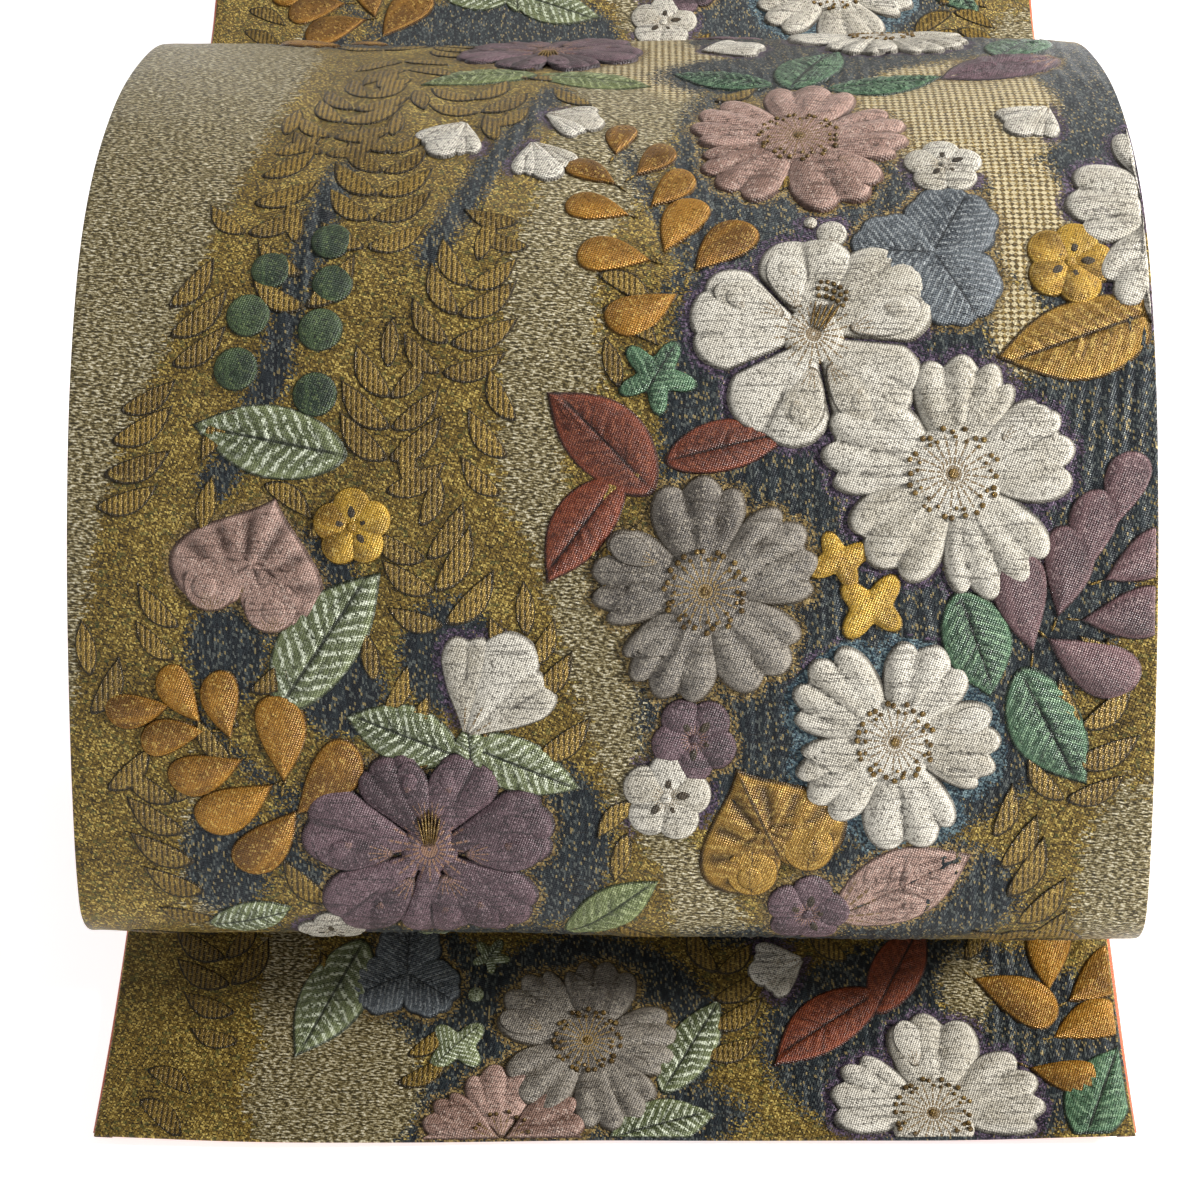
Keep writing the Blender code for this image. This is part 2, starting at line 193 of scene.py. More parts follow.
# ---- the chart of the woven figure ---------------------------------------
# turn is in degrees from +u towards +s: where a leaf's tip, a drop's round end
# or a flower's first petal points.
# kind, u, s, length, breadth, turn, colour
DRUM_CHART = (
    ("sakura", 56, 300, 66, 0, 8, "pink"),
    ("leaf", 34, 343, 34, 15, 158, "green"),
    ("leaf", 63, 354, 46, 20, 68, "green"),
    ("leaf", 85, 336, 38, 15, 12, "green"),
    ("plum", 98, 285, 23, 0, 20, "ivory"),
    ("leaf", 122, 350, 46, 24, 208, "mauve"),
    ("bud", 127, 309, 20, 0, 230, "ivory"),
    ("sakura", 168, 268, 74, 0, 172, "ivory"),
    ("plum", 132, 249, 26, 0, 0, "yellow"),
    ("ribleaf", 134, 226, 50, 24, 200, "gold"),
    ("kiri", 93, 252, 48, 0, 62, "blue"),
    ("disc", 64, 259, 9, 0, 0, "ivory"),
    ("disc", 58, 263, 4, 0, 0, "ivory"),
    ("camellia", 58, 226, 69, 0, 102, "ivory"),
    ("sakura", 97, 186, 71, 0, 85, "ivory"),
    ("ivy", 13, 213, 24, 0, 60, "green"),
    ("leaf", -2, 195, 42, 22, 134, "rust"),
    ("leaf", 33, 193, 36, 15, 14, "rust"),
    ("leaf", -8, 170, 37, 17, 232, "rust"),
    ("drop", 3, 300, 15, 0, 78, "gold"),
    ("drop", 12, 290, 16, 0, 58, "gold"),
    ("drop", -6, 282, 15, 0, 150, "gold"),
    ("drop", 17, 277, 17, 0, 55, "gold"),
    ("drop", -4, 267, 17, 0, 170, "gold"),
    ("drop", 21, 262, 20, 0, 60, "gold"),
    ("drop", 33, 254, 21, 0, 42, "gold"),
    ("drop", 1, 250, 19, 0, 176, "gold"),
    ("drop", 9, 234, 20, 0, 204, "gold"),
    ("disc", -81, 256, 12, 0, 0, "berry"),
    ("disc", -98, 247, 12, 0, 0, "berry"),
    ("disc", -80, 242, 12, 0, 0, "berry"),
    ("disc", -104, 233, 13, 0, 0, "berry"),
    ("disc", -83, 228, 13, 0, 0, "berry"),
    ("disc", -107, 217, 13, 0, 0, "berry"),
    ("disc", -84, 209, 13, 0, 0, "berry"),
    ("leaf", -97, 196, 46, 21, 168, "palegreen"),
    ("heart", -102, 160, 43, 0, 70, "pink"),
    ("plum", -73, 171, 22, 0, 92, "yellow"),
    ("leaf", -81, 139, 50, 23, 56, "palegreen"),
    ("drop", -135, 119, 17, 0, 186, "gold"),
    ("drop", -122, 123, 17, 0, 120, "gold"),
    ("drop", -110, 120, 18, 0, 98, "gold"),
    ("drop", -95, 110, 23, 0, 96, "gold"),
    ("drop", -82, 98, 24, 0, 52, "gold"),
    ("drop", -125, 110, 17, 0, 194, "gold"),
    ("drop", -116, 101, 20, 0, 196, "gold"),
    ("drop", -108, 91, 22, 0, 206, "gold"),
    ("drop", -99, 80, 22, 0, 224, "gold"),
    ("bud", -34, 123, 33, 0, 60, "ivory"),
    ("leaf", -40, 107, 15, 9, 95, "palegreen"),
    ("leaf", -59, 111, 35, 18, 158, "palegreen"),
    ("leaf", -26, 102, 38, 16, 338, "palegreen"),
    ("peony", -52, 77, 74, 0, 270, "mauve"),
    ("plum", -82, 46, 20, 0, 90, "ivory"),
    ("leaf", -105, 54, 26, 13, 14, "palegreen"),
    ("leaf", 0, 58, 34, 14, 38, "moss"),
    ("sakura", 27, 152, 64, 0, 98, "lavender"),
    ("bits", 65, 161, 19, 0, 25, "yellow"),
    ("bits", 74, 148, 22, 0, 52, "yellow"),
    ("leaf", 104, 138, 32, 20, 290, "green"),
    ("leaf", 125, 114, 39, 21, 298, "green"),
    ("drop", 118, 150, 25, 0, 98, "mauvelight"),
    ("drop", 128, 159, 23, 0, 84, "mauvelight"),
    ("drop", 137, 170, 22, 0, 76, "mauvelight"),
    ("drop", 146, 182, 20, 0, 70, "mauvelight"),
    ("drop", 149, 163, 20, 0, 34, "mauvelight"),
    ("drop", 146, 148, 23, 0, 12, "mauvelight"),
    ("drop", 137, 134, 25, 0, 336, "mauvelight"),
    ("sakura", 81, 110, 61, 0, 68, "ivory"),
    ("plum", 24, 110, 24, 0, 50, "mauve"),
    ("plum", 16, 93, 25, 0, 10, "ivory"),
    ("heart", 45, 83, 42, 0, 116, "gold"),
    ("leaf", 84, 67, 44, 23, 28, "pink"),
    ("plum", 57, 58, 24, 0, 80, "mauve"),
    ("peony", -22, 379, 62, 0, 90, "mauve"),
    ("leaf", -43, 345, 38, 16, 196, "moss"),
    ("leaf", -6, 343, 38, 16, 344, "moss"),
    ("bud", -48, 300, 20, 0, 246, "ivory"),
    ("bud", -21, 289, 19, 0, 290, "ivory"),
    ("bud", -13, 311, 19, 0, 340, "ivory"),
    ("bud", 37, 379, 22, 0, 20, "ivory"),
    ("sakura", 89, 397, 60, 0, 100, "ivory"),
    ("leaf", 133, 379, 40, 20, 60, "green"),
    ("drop", -83, 410, 20, 0, 120, "gold"),
    ("drop", -103, 400, 21, 0, 150, "gold"),
    ("drop", -91, 426, 20, 0, 95, "gold"),
    ("drop", -111, 419, 20, 0, 130, "gold"),
    ("plum", 38, 423, 26, 0, 40, "mauve"),
    ("leaf", -51, 433, 38, 18, 100, "palegreen"),
    ("sakura", 7, 458, 56, 0, 60, "lavender"),
    ("leaf", 75, 448, 40, 18, 30, "rust"),
)
TAIL_CHART = (
    ("leaf", -88, 47, 44, 21, 246, "palegreen"),
    ("kiri", -65, 55, 36, 0, 90, "blue"),
    ("ivy", -39, 61, 13, 0, 60, "palegreen"),
    ("disc", -43, 48, 5, 0, 0, "palegreen"),
    ("bits", -48, 31, 20, 0, 45, "palegreen"),
    ("sakura", -8, 32, 57, 0, 76, "lavender"),
    ("leaf", 24, 31, 37, 15, 60, "palegreen"),
    ("leaf", 15, 5, 33, 16, 16, "palegreen"),
    ("sakura", -33, 0, 49, 0, 92, "pink"),
    ("bud", 52, 58, 18, 0, 200, "ivory"),
    ("leaf", 65, 38, 42, 18, 214, "rust"),
    ("leaf", 89, 58, 36, 16, 62, "rust"),
    ("sakura", 96, 8, 64, 0, 88, "ivory"),
    ("drop", 124, 47, 25, 0, 330, "gold"),
    ("drop", 137, 62, 22, 0, 80, "gold"),
    ("drop", 150, 55, 23, 0, 42, "gold"),
    ("drop", 146, 38, 22, 0, 20, "gold"),
    ("drop", 137, 22, 19, 0, 350, "gold"),
    ("leaf", 147, 15, 38, 20, 66, "green"),
    ("leaf", -60, 97, 40, 20, 60, "rust"),
    ("sakura", 40, 105, 60, 0, 20, "ivory"),
    ("peony", -111, 110, 60, 0, 270, "mauve"),
    ("drop", 111, 111, 24, 0, 40, "gold"),
    ("drop", 123, 99, 24, 0, 0, "gold"),
    ("leaf", 93, 147, 44, 20, 120, "green"),
    ("heart", 0, 161, 42, 0, 60, "pink"),
    ("sakura", 121, 201, 64, 0, 90, "lavender"),
    ("leaf", -101, 180, 44, 20, 200, "palegreen"),
    ("plum", -50, 151, 26, 0, 10, "yellow"),
    ("sakura", -81, 232, 60, 0, 30, "ivory"),
    ("leaf", 20, 221, 44, 20, 320, "rust"),
    ("plum", 65, 251, 26, 0, 30, "mauve"),
)
# pale, flecked ground: its middle, s by s, and how far it reaches to each side
PALE_MIDDLE = (
    # s, u, reach
    (-15, 36, 8), (35, 34, 11), (50, 30, 12), (64, 26, 9), (78, 18, 7), (92, 5, 5), (107, 4, 8),
    (121, 2, 11), (135, -1, 13), (149, -9, 8), (164, -13, 8), (178, -22, 9),
    (192, -22, 9), (206, -18, 14), (221, -17, 15), (236, -17, 13), (253, -15, 13),
    (271, -7, 15), (293, -2, 17), (323, 6, 19), (364, 12, 24), (388, 17, 26),
    (428, -1, 14), (475, -30, 10), (507, -40, 8),
)
PALE_LEFT = (
    # s, u of its edge
    (-16, -169), (63, -168), (104, -159), (124, -153), (154, -149), (178, -145), (206, -135),
    (221, -129), (236, -123), (253, -117), (271, -112), (294, -106), (325, -100),
    (366, -96), (390, -100), (421, -119), (462, -163), (512, -173),
)
# round patches: u, s, reach across, reach along
PALE_SPOTS = ((104, 316, 33, 40), (121, 265, 13, 28), (116, 229, 9, 17), (-117, 73, 6, 24), (151, 64, 17, 34))
NAVY_SPOTS = (
    (86, 199, 72, 96), (139, 330, 24, 74), (32, 283, 14, 50), (68, 116, 60, 38), (86, 64, 32, 20),
    (-109, 136, 12, 15), (-77, 124, 13, 14), (-88, 152, 17, 18), (-46, 134, 14, 17),
    (-49, 80, 49, 27), (-111, 74, 13, 18), (-22, 78, 23, 27), (59, 348, 46, 22),
    (-49, 45, 50, 9), (61, 45, 40, 8), (83, 396, 60, 40), (-91, 414, 36, 26), (9, 454, 60, 30),
)
TAIL_PALE = ((-84, 17, 27, 28), (-103, 52, 8, 30), (109, 51, 9, 14), (-20, 111, 16, 40), (61, 161, 16, 50))
TAIL_NAVY = (
    (-62, 51, 26, 20), (-9, 35, 42, 34), (101, 32, 56, 36), (-39, 9, 34, 18), (11, 8, 30, 12),
    (40, 105, 50, 40), (-111, 110, 44, 36), (111, 191, 46, 44), (-81, 230, 46, 40), (0, 161, 34, 34),
)
# stems, as strokes of navy: half breadth, then places
STEMS = (
    (4.5, ((-18, 331), (-25, 311), (-32, 293), (-44, 267), (-52, 251))),
    (5.0, ((-80, 282), (-87, 255), (-92, 236), (-96, 216), (-105, 195), (-112, 184))),
    (1.8, ((-119, 118), (-108, 105), (-92, 92), (-77, 82))),
    (2.4, ((16, 238), (23, 248), (14, 266), (7, 283), (3, 295))),
    (2.0, ((114, 122), (120, 136), (129, 150), (141, 164), (151, 176))),
)

# ---- materials -------------------------------------------------------------


def lin(r, g, b):
    """Linear colour of an sRGB one."""
    return tuple(((c / 255 + 0.055) / 1.055) ** 2.4 if c > 10 else c / 255 / 12.92 for c in (r, g, b))


class Nodes:
    """A short way to write a material's node tree."""

    def __init__(self, name, roughness=0.5, metallic=0.0, sheen=0.0, specular=0.5):
        self.mat = bpy.data.materials.new(name)
        self.mat.use_nodes = True
        self.tree = self.mat.node_tree
        self.shader = self.tree.nodes["Principled BSDF"]
        self.shader.inputs["Roughness"].default_value = roughness
        self.shader.inputs["Metallic"].default_value = metallic
        self.shader.inputs["Specular IOR Level"].default_value = specular
        if sheen:
            self.shader.inputs["Sheen Weight"].default_value = sheen
            self.shader.inputs["Sheen Roughness"].default_value = 0.4

    def put(self, socket, value):
        if isinstance(value, bpy.types.NodeSocket):
            self.tree.links.new(value, socket)
        elif isinstance(value, (tuple, list)) and len(value) == 3 and socket.type == "RGBA":
            socket.default_value = (*value, 1)
        elif value is not None:
            socket.default_value = value

    def math(self, op, a, b=None, c=None, clamp=False):
        n = self.tree.nodes.new("ShaderNodeMath")
        n.operation = op
        n.use_clamp = clamp
        for i, v in enumerate((a, b, c)):
            if v is not None:
                self.put(n.inputs[i], v)
        return n.outputs[0]

    def mix(self, fac, a, b):
        n = self.tree.nodes.new("ShaderNodeMix")
        n.data_type = "RGBA"
        self.put(n.inputs[0], fac)
        self.put(n.inputs[6], a)
        self.put(n.inputs[7], b)
        return n.outputs[2]

    def blend(self, kind, fac, a, b):
        n = self.tree.nodes.new("ShaderNodeMix")
        n.data_type = "RGBA"
        n.blend_type = kind
        self.put(n.inputs[0], fac)
        self.put(n.inputs[6], a)
        self.put(n.inputs[7], b)
        return n.outputs[2]

    def step(self, value, lo, hi):
        n = self.tree.nodes.new("ShaderNodeMapRange")
        n.interpolation_type = "SMOOTHSTEP"
        self.put(n.inputs[0], value)
        self.put(n.inputs[1], lo)
        self.put(n.inputs[2], hi)
        return n.outputs[0]

    def ramp(self, value, stops):
        n = self.tree.nodes.new("ShaderNodeValToRGB")
        self.put(n.inputs[0], value)
        el = n.color_ramp.elements
        while len(el) < len(stops):
            el.new(0.5)
        for e, (at, colour) in zip(el, stops):
            e.position = at
            e.color = (*colour, 1)
        return n.outputs[0]

    def chart(self):
        """u and s in millimetres, from the chart's UV map."""
        n = self.tree.nodes.new("ShaderNodeUVMap")
        n.uv_map = "chart"
        self.uv = n.outputs[0]
        sep = self.tree.nodes.new("ShaderNodeSeparateXYZ")
        self.put(sep.inputs[0], self.uv)
        self.u, self.s = sep.outputs[0], sep.outputs[1]
        return self.u, self.s

    def vec(self, x, y, z=0.0):
        n = self.tree.nodes.new("ShaderNodeCombineXYZ")
        for i, v in enumerate((x, y, z)):
            self.put(n.inputs[i], v)
        return n.outputs[0]

    def noise(self, x, y, z=0.0, detail=2.0, rough=0.5):
        n = self.tree.nodes.new("ShaderNodeTexNoise")
        n.noise_dimensions = "3D"
        self.put(n.inputs["Vector"], self.vec(x, y, z))
        n.inputs["Scale"].default_value = 1.0
        n.inputs["Detail"].default_value = detail
        n.inputs["Roughness"].default_value = rough
        return n.outputs[0]

    def cells(self, x, y, salt=0.0):
        """A random value for each cell one wide and one high."""
        n = self.tree.nodes.new("ShaderNodeTexWhiteNoise")
        n.noise_dimensions = "3D"
        fx = self.math("FLOOR", x)
        fy = self.math("FLOOR", y)
        self.put(n.inputs["Vector"], self.vec(fx, fy, salt))
        return n.outputs[0]

    def attr(self, name, out="Fac"):
        n = self.tree.nodes.new("ShaderNodeAttribute")
        n.attribute_name = name
        return n.outputs[out]

    def bump(self, height, strength, distance=0.0004):
        n = self.tree.nodes.new("ShaderNodeBump")
        n.inputs["Strength"].default_value = strength
        n.inputs["Distance"].default_value = distance
        self.put(n.inputs["Height"], height)
        self.put(self.shader.inputs["Normal"], n.outputs[0])

    def colour(self, value):
        self.put(self.shader.inputs["Base Color"], value)

    def rough(self, value):
        self.put(self.shader.inputs["Roughness"], value)


def twill(m, across=1.12, along=1.0, lean=0.5):
    """The little diagonal dots of the twill, 0 to 1."""
    a = m.math("MULTIPLY", m.u, TAU / across)
    b = m.math("MULTIPLY", m.s, TAU / along)
    p = m.math("ADD", a, m.math("MULTIPLY", b, lean))
    q = m.math("SUBTRACT", m.math("MULTIPLY", a, 0.5), b)
    t = m.math("MULTIPLY", m.math("SINE", p), m.math("SINE", q))
    return m.math("MULTIPLY_ADD", t, 0.5, 0.5)


def threads(m, salt=0.0, cu=0.62, cs=0.55):
    """Uneven thread ends: one random value for each, softened by a finer one."""
    skew = m.math("MULTIPLY_ADD", m.s, 0.35, m.u)
    a = m.cells(m.math("DIVIDE", skew, cu), m.math("DIVIDE", m.s, cs), salt)
    b = m.noise(m.math("MULTIPLY", m.u, 1.3), m.math("MULTIPLY", m.s, 1.5), salt, 1.0)
    return m.math("MULTIPLY_ADD", a, 0.62, m.math("MULTIPLY", b, 0.38))


def floats(m, salt=3.0, low=0.655, high=0.70):
    """Thin dark wefts that run a little way across the figure."""
    wob = m.math("MULTIPLY_ADD", m.noise(m.math("MULTIPLY", m.u, 0.05), m.math("MULTIPLY", m.s, 0.05), salt), 3.0, m.s)
    n = m.noise(m.math("MULTIPLY", m.u, 0.055), m.math("MULTIPLY", wob, 1.35), salt, 0.0)
    return m.step(n, low, high)


def silk(name, light, mid, dark, vein_and_crease_shade, kind, roughness=0.5, metallic=0.0, speck=0.35, glint=None, sheen=0.0, line=0.7, stamen=None):
    """A raised figure's cloth: twill dots, thread specks, pleats and veins, with painted shade in the creases and, on
    drops, a painted shaded side and highlight.
    """
    m = Nodes(name, roughness, metallic, sheen)
    m.chart()
    tw = twill(m)
    th = threads(m, 1.0, 0.62, 0.58)
    rho, fold, tint = (m.attr(k) for k in ("rho", "fold", "tint"))
    a, b, phi = (m.attr(k) for k in ("pa", "pb", "phi"))
    broad = m.noise(m.math("MULTIPLY", m.u, 0.11), m.math("MULTIPLY", m.s, 0.11), 2.0, 2.0)
    broad = m.math("ADD", m.math("MULTIPLY", broad, 0.7), m.math("MULTIPLY", tint, 0.3))
    body = m.mix(m.step(broad, 0.25, 0.75), mid, light)
    body = m.mix(m.math("MULTIPLY", m.step(tw, 0.50, 0.05), speck), body, dark)
    body = m.mix(m.math("MULTIPLY", m.step(th, 0.40, 0.15), speck), body, dark)
    if glint:
        body = m.mix(m.math("MULTIPLY", m.step(th, 0.66, 0.84), 0.5), body, glint)
    else:
        body = m.mix(m.math("MULTIPLY", m.step(th, 0.60, 0.85), 0.6), body, light)
    height = m.math("ADD", m.math("MULTIPLY", tw, 0.8), m.math("MULTIPLY", th, 0.8))
    if kind == "petal":
        reach = m.math("SQRT", m.math("ADD", m.math("MULTIPLY", a, a), m.math("MULTIPLY", m.math("MULTIPLY", b, b), 0.25)))
        # fine weft dashes over the petal, and gold stamens at its foot
        body = m.mix(m.math("MULTIPLY", floats(m, 3.0, 0.64, 0.68), 0.52), body, vein_and_crease_shade)
        k = m.math("MULTIPLY_ADD", phi, 4 / 1.2566, 0.5)
        near = m.math("ABSOLUTE", m.math("SUBTRACT", m.math("FRACT", k), 0.5))
        width = m.math("DIVIDE", 0.028, m.math("MAXIMUM", reach, 0.06))
        ray = m.math("MULTIPLY", m.math("LESS_THAN", near, width), m.step(reach, 0.33, 0.29))
        dash = m.math("GREATER_THAN", m.math("FRACT", m.math("MULTIPLY", reach, 15.0)), 0.22)
        ray = m.math("MULTIPLY", ray, dash)
        body = m.mix(m.math("MULTIPLY", ray, 0.85), body, stamen or lin(118, 92, 46))
        k2 = m.math("MULTIPLY_ADD", phi, 9.5, m.math("MULTIPLY", broad, 1.5))
        near2 = m.math("ABSOLUTE", m.math("SUBTRACT", m.math("FRACT", k2), 0.5))
        vein2 = m.math("MULTIPLY", m.math("LESS_THAN", near2, m.math("DIVIDE", 0.035, m.math("MAXIMUM", reach, 0.2))), m.math("MULTIPLY", m.step(reach, 0.36, 0.44), m.step(reach, 0.86, 0.60)))
        vein2 = m.math("MULTIPLY", vein2, m.math("GREATER_THAN", m.math("FRACT", m.math("ADD", m.math("MULTIPLY", reach, 9.0), broad)), 0.45))
        body = m.mix(m.math("MULTIPLY", vein2, 0.42), body, vein_and_crease_shade)
        height = m.math("SUBTRACT", height, m.math("MULTIPLY", vein2, 0.8))
        rim = 0.75
    elif kind == "leaf":
        rib = m.step(m.math("ABSOLUTE", b), 0.030, 0.012)
        body = m.mix(m.math("MULTIPLY", m.step(m.math("ABSOLUTE", b), 0.02, 0.55), 0.30), m.mix(0.35, body, dark), light)
        k = m.math("SUBTRACT", m.math("MULTIPLY_ADD", broad, 2.2, m.math("MULTIPLY", a, 12.0)), m.math("MULTIPLY", m.math("ABSOLUTE", b), 4.2))
        near = m.math("ABSOLUTE", m.math("SUBTRACT", m.math("FRACT", k), 0.5))
        pale = m.math("MULTIPLY", m.step(near, 0.22, 0.42), m.step(th, 0.30, 0.58))
        if glint:
            body = m.mix(m.math("MULTIPLY", pale, line), body, glint)
        body = m.mix(m.math("MULTIPLY", rib, 0.75), body, vein_and_crease_shade)
        rim = 0.8
    elif kind == "ribs":
        k = m.math("DIVIDE", m.u, 1.55)
        near = m.math("ABSOLUTE", m.math("SUBTRACT", m.math("FRACT", k), 0.5))
        lines = m.math("MULTIPLY", m.step(near, 0.30, 0.14), m.step(th, 1.0, 0.35))
        body = m.mix(m.math("MULTIPLY", lines, 0.80), body, vein_and_crease_shade)
        height = m.math("SUBTRACT", height, m.math("MULTIPLY", lines, 1.2))
        rim = 0.9
    else:
        # painted shade and highlight: one side of each drop darker, and a lighter stripe along the other side
        body = m.mix(m.math("MULTIPLY", m.step(b, 0.15, -0.5), 0.42), body, dark)
        body = m.mix(m.math("MULTIPLY", m.step(m.math("ABSOLUTE", m.math("SUBTRACT", b, 0.34)), 0.14, 0.03), 0.35), body, light)
        rim = 0.7
    # painted crease shade: the colour goes darker where the pleat or rib groove is deepest
    body = m.mix(m.math("MULTIPLY", m.step(fold, 0.68, 0.05), 0.76), body, vein_and_crease_shade)
    if kind == "ribs":
        edge = m.step(rho, 0.84, 0.92)
    else:
        lit = m.math("MULTIPLY", m.step(rho, 0.78, 0.90), m.step(rho, 0.965, 0.93))
        body = m.mix(m.math("MULTIPLY", lit, 0.30), body, light)
        edge = m.step(rho, 0.915, 0.985)
    body = m.mix(m.math("MULTIPLY", edge, rim), body, vein_and_crease_shade)
    m.colour(body)
    m.rough(m.math("MULTIPLY_ADD", th, 0.26, roughness - 0.14))
    m.bump(height, 0.75)
    return m.mat


def ground_material():
    """The ground of the brocade: gold, pale flecks, navy and the haloes."""
    m = Nodes("ground_weave", 0.46, 0.28, 0.0, 0.5)
    u, s = m.chart()
    th = threads(m, 2.0, 0.54, 0.5)
    th2 = threads(m, 9.0, 0.66, 0.5)
    broad = m.noise(m.math("MULTIPLY", u, 0.045), m.math("MULTIPLY", s, 0.045), 1.0, 3.0)
    hatch = m.math("SINE", m.math("MULTIPLY", m.math("MULTIPLY_ADD", s, 0.8, u), TAU / 2.1))
    # gold thread ends, the brightest of them a painted glint
    gold = m.ramp(
        m.math("ADD", th, m.math("MULTIPLY", m.math("SUBTRACT", broad, 0.5), 0.35)),
        ((0.16, lin(34, 27, 11)), (0.38, lin(94, 75, 27)), (0.64, lin(134, 108, 41)), (0.90, lin(226, 200, 112))),
    )
    gold = m.mix(m.math("MULTIPLY", m.step(hatch, 0.3, 1.0), 0.28), gold, lin(84, 70, 30))
    gold = m.mix(m.math("MULTIPLY", m.step(twill(m), 0.45, 0.05), 0.55), gold, lin(38, 31, 14))
    green_tint = m.math("GREATER_THAN", m.cells(m.math("DIVIDE", u, 1.3), m.math("DIVIDE", s, 1.0), 4.0), 0.90)
    gold = m.mix(m.math("MULTIPLY", green_tint, 0.4), gold, lin(78, 88, 48))
    # pale flecks, slanting
    lean = m.math("MULTIPLY_ADD", s, 0.9, u)
    fleck = m.noise(m.math("MULTIPLY", lean, 0.62), m.math("MULTIPLY", s, 1.75), 6.0, 1.0)
    fleck = m.math("ADD", fleck, m.math("MULTIPLY", m.math("SUBTRACT", th, 0.5), 0.22))
    pale = m.ramp(fleck, ((0.36, lin(56, 48, 25)), (0.48, lin(104, 90, 50)), (0.59, lin(168, 156, 120)), (0.74, lin(222, 214, 190))))
    # the zigzag lattice in the pale ground
    one = m.math("SINE", m.math("ADD", m.math("MULTIPLY", u, TAU / 4.4), m.math("MULTIPLY", s, TAU / 3.6)))
    two = m.math("SINE", m.math("SUBTRACT", m.math("MULTIPLY", u, TAU / 4.4), m.math("MULTIPLY", s, TAU / 3.6)))
    zig = m.step(m.math("MULTIPLY_ADD", fleck, 0.8, m.math("MULTIPLY", one, two)), 0.2, 0.7)
    zig = m.math("MULTIPLY", zig, m.step(th, 0.10, 0.36))
    lattice = m.mix(zig, m.ramp(th, ((0.2, lin(60, 47, 22)), (0.55, lin(112, 90, 44)), (0.85, lin(170, 146, 86)))), lin(204, 190, 152))
    pale = m.mix(m.step(m.attr("lattice"), -1.0, 1.0), pale, lattice)
    # navy with upright specks
    upright = m.cells(m.math("DIVIDE", u, 0.48), m.math("DIVIDE", m.math("MULTIPLY_ADD", u, 0.4, s), 0.9), 7.0)
    ridge = m.noise(m.math("MULTIPLY", u, 0.75), m.math("MULTIPLY", s, 0.07), 3.0, 1.0)
    navy = m.mix(m.step(ridge, 0.35, 0.65), lin(21, 27, 32), lin(42, 50, 54))
    navy = m.mix(m.math("MULTIPLY", m.math("GREATER_THAN", upright, 0.76), 0.62), navy, lin(100, 105, 100))
    navy = m.mix(m.math("MULTIPLY", m.math("GREATER_THAN", upright, 0.93), 0.80), navy, lin(148, 130, 84))
    navy = m.mix(m.math("MULTIPLY", m.math("LESS_THAN", upright, 0.16), 0.9), navy, lin(15, 20, 28))
    # where each ground lies, with ragged edges
    rag = m.noise(m.math("MULTIPLY", u, 0.16), m.math("MULTIPLY", s, 0.55), 11.0, 3.0, 0.7)
    rag = m.math("SUBTRACT", rag, 0.5)
    grain = m.math("SUBTRACT", m.cells(m.math("DIVIDE", u, 1.9), m.math("DIVIDE", s, 0.8), 12.0), 0.5)
    ragged = m.math("ADD", m.math("MULTIPLY", rag, 13.0), m.math("MULTIPLY", grain, 4.5))
    is_pale = m.step(m.math("ADD", m.attr("pale"), ragged), -0.5, 0.5)
    fuzz = m.math("ADD", m.math("MULTIPLY", rag, 3.0), m.math("MULTIPLY", m.math("SUBTRACT", th2, 0.5), 7.5))
    is_navy = m.step(m.math("ADD", m.attr("navy"), fuzz), -0.4, 0.6)
    col = m.mix(is_pale, gold, pale)
    col = m.mix(is_navy, col, navy)
    # haloes round the white flowers, and thin gold ones round the others
    for key, a, b, c in (
        ("halo_p", lin(52, 38, 60), lin(112, 94, 116), lin(24, 20, 30)),
        ("halo_b", lin(46, 70, 84), lin(120, 142, 146), lin(22, 34, 44)),
        ("halo_g", lin(116, 92, 46), lin(176, 152, 98), lin(48, 42, 32)),
    ):
        tone = m.ramp(th2, ((0.26, c), (0.46, a), (0.78, b)))
        on = m.step(m.math("ADD", m.attr(key), m.math("MULTIPLY", m.math("SUBTRACT", th, 0.5), 4.6)), -0.2, 0.5)
        col = m.mix(m.math("MULTIPLY", on, 0.92), col, tone)
    col = m.mix(m.math("MULTIPLY", floats(m, 21.0, 0.70, 0.74), 0.45), col, lin(34, 28, 20))
    m.colour(col)
    m.rough(m.math("MULTIPLY_ADD", th, 0.28, 0.30))
    height = m.math("ADD", th, m.math("MULTIPLY", twill(m), 0.5))
    height = m.math("ADD", height, m.math("MULTIPLY", m.math("MULTIPLY", is_pale, fleck), 1.6))
    m.bump(height, 0.55)
    return m.mat


def lining_material():
    """Plain orange-red silk with a fine rib."""
    m = Nodes("lining_silk", 0.42, 0.0, 0.3, 0.5)
    m.chart()
    th = threads(m, 5.0, 0.5, 0.45)
    slub = m.noise(m.math("MULTIPLY", m.u, 0.03), m.math("MULTIPLY", m.s, 1.1), 1.0, 2.0)
    broad = m.noise(m.math("MULTIPLY", m.u, 0.02), m.math("MULTIPLY", m.s, 0.02), 8.0, 3.0)
    col = m.mix(m.step(broad, 0.3, 0.7), lin(206, 88, 48), lin(224, 110, 62))
    col = m.mix(m.math("MULTIPLY", m.step(slub, 0.55, 0.75), 0.35), col, lin(168, 62, 34))
    col = m.mix(m.math("MULTIPLY", m.step(th, 0.4, 0.1), 0.35), col, lin(150, 54, 30))
    m.colour(col)
    m.rough(m.math("MULTIPLY_ADD", th, 0.2, 0.34))
    rib = m.math("SINE", m.math("MULTIPLY", m.s, TAU / 0.9))
    m.bump(m.math("ADD", m.math("MULTIPLY", rib, 0.4), th), 0.35)
    return m.mat


def thread_material():
    """The selvedge's sewing thread."""
    m = Nodes("sewing_thread", 0.5)
    m.chart()
    twist = m.math("SINE", m.math("MULTIPLY", m.math("ADD", m.u, m.s), TAU / 0.35))
    m.colour(m.mix(m.math("MULTIPLY_ADD", twist, 0.3, 0.5), lin(196, 120, 62), lin(226, 160, 96)))
    m.bump(twist, 0.4, 0.0002)
    return m.mat


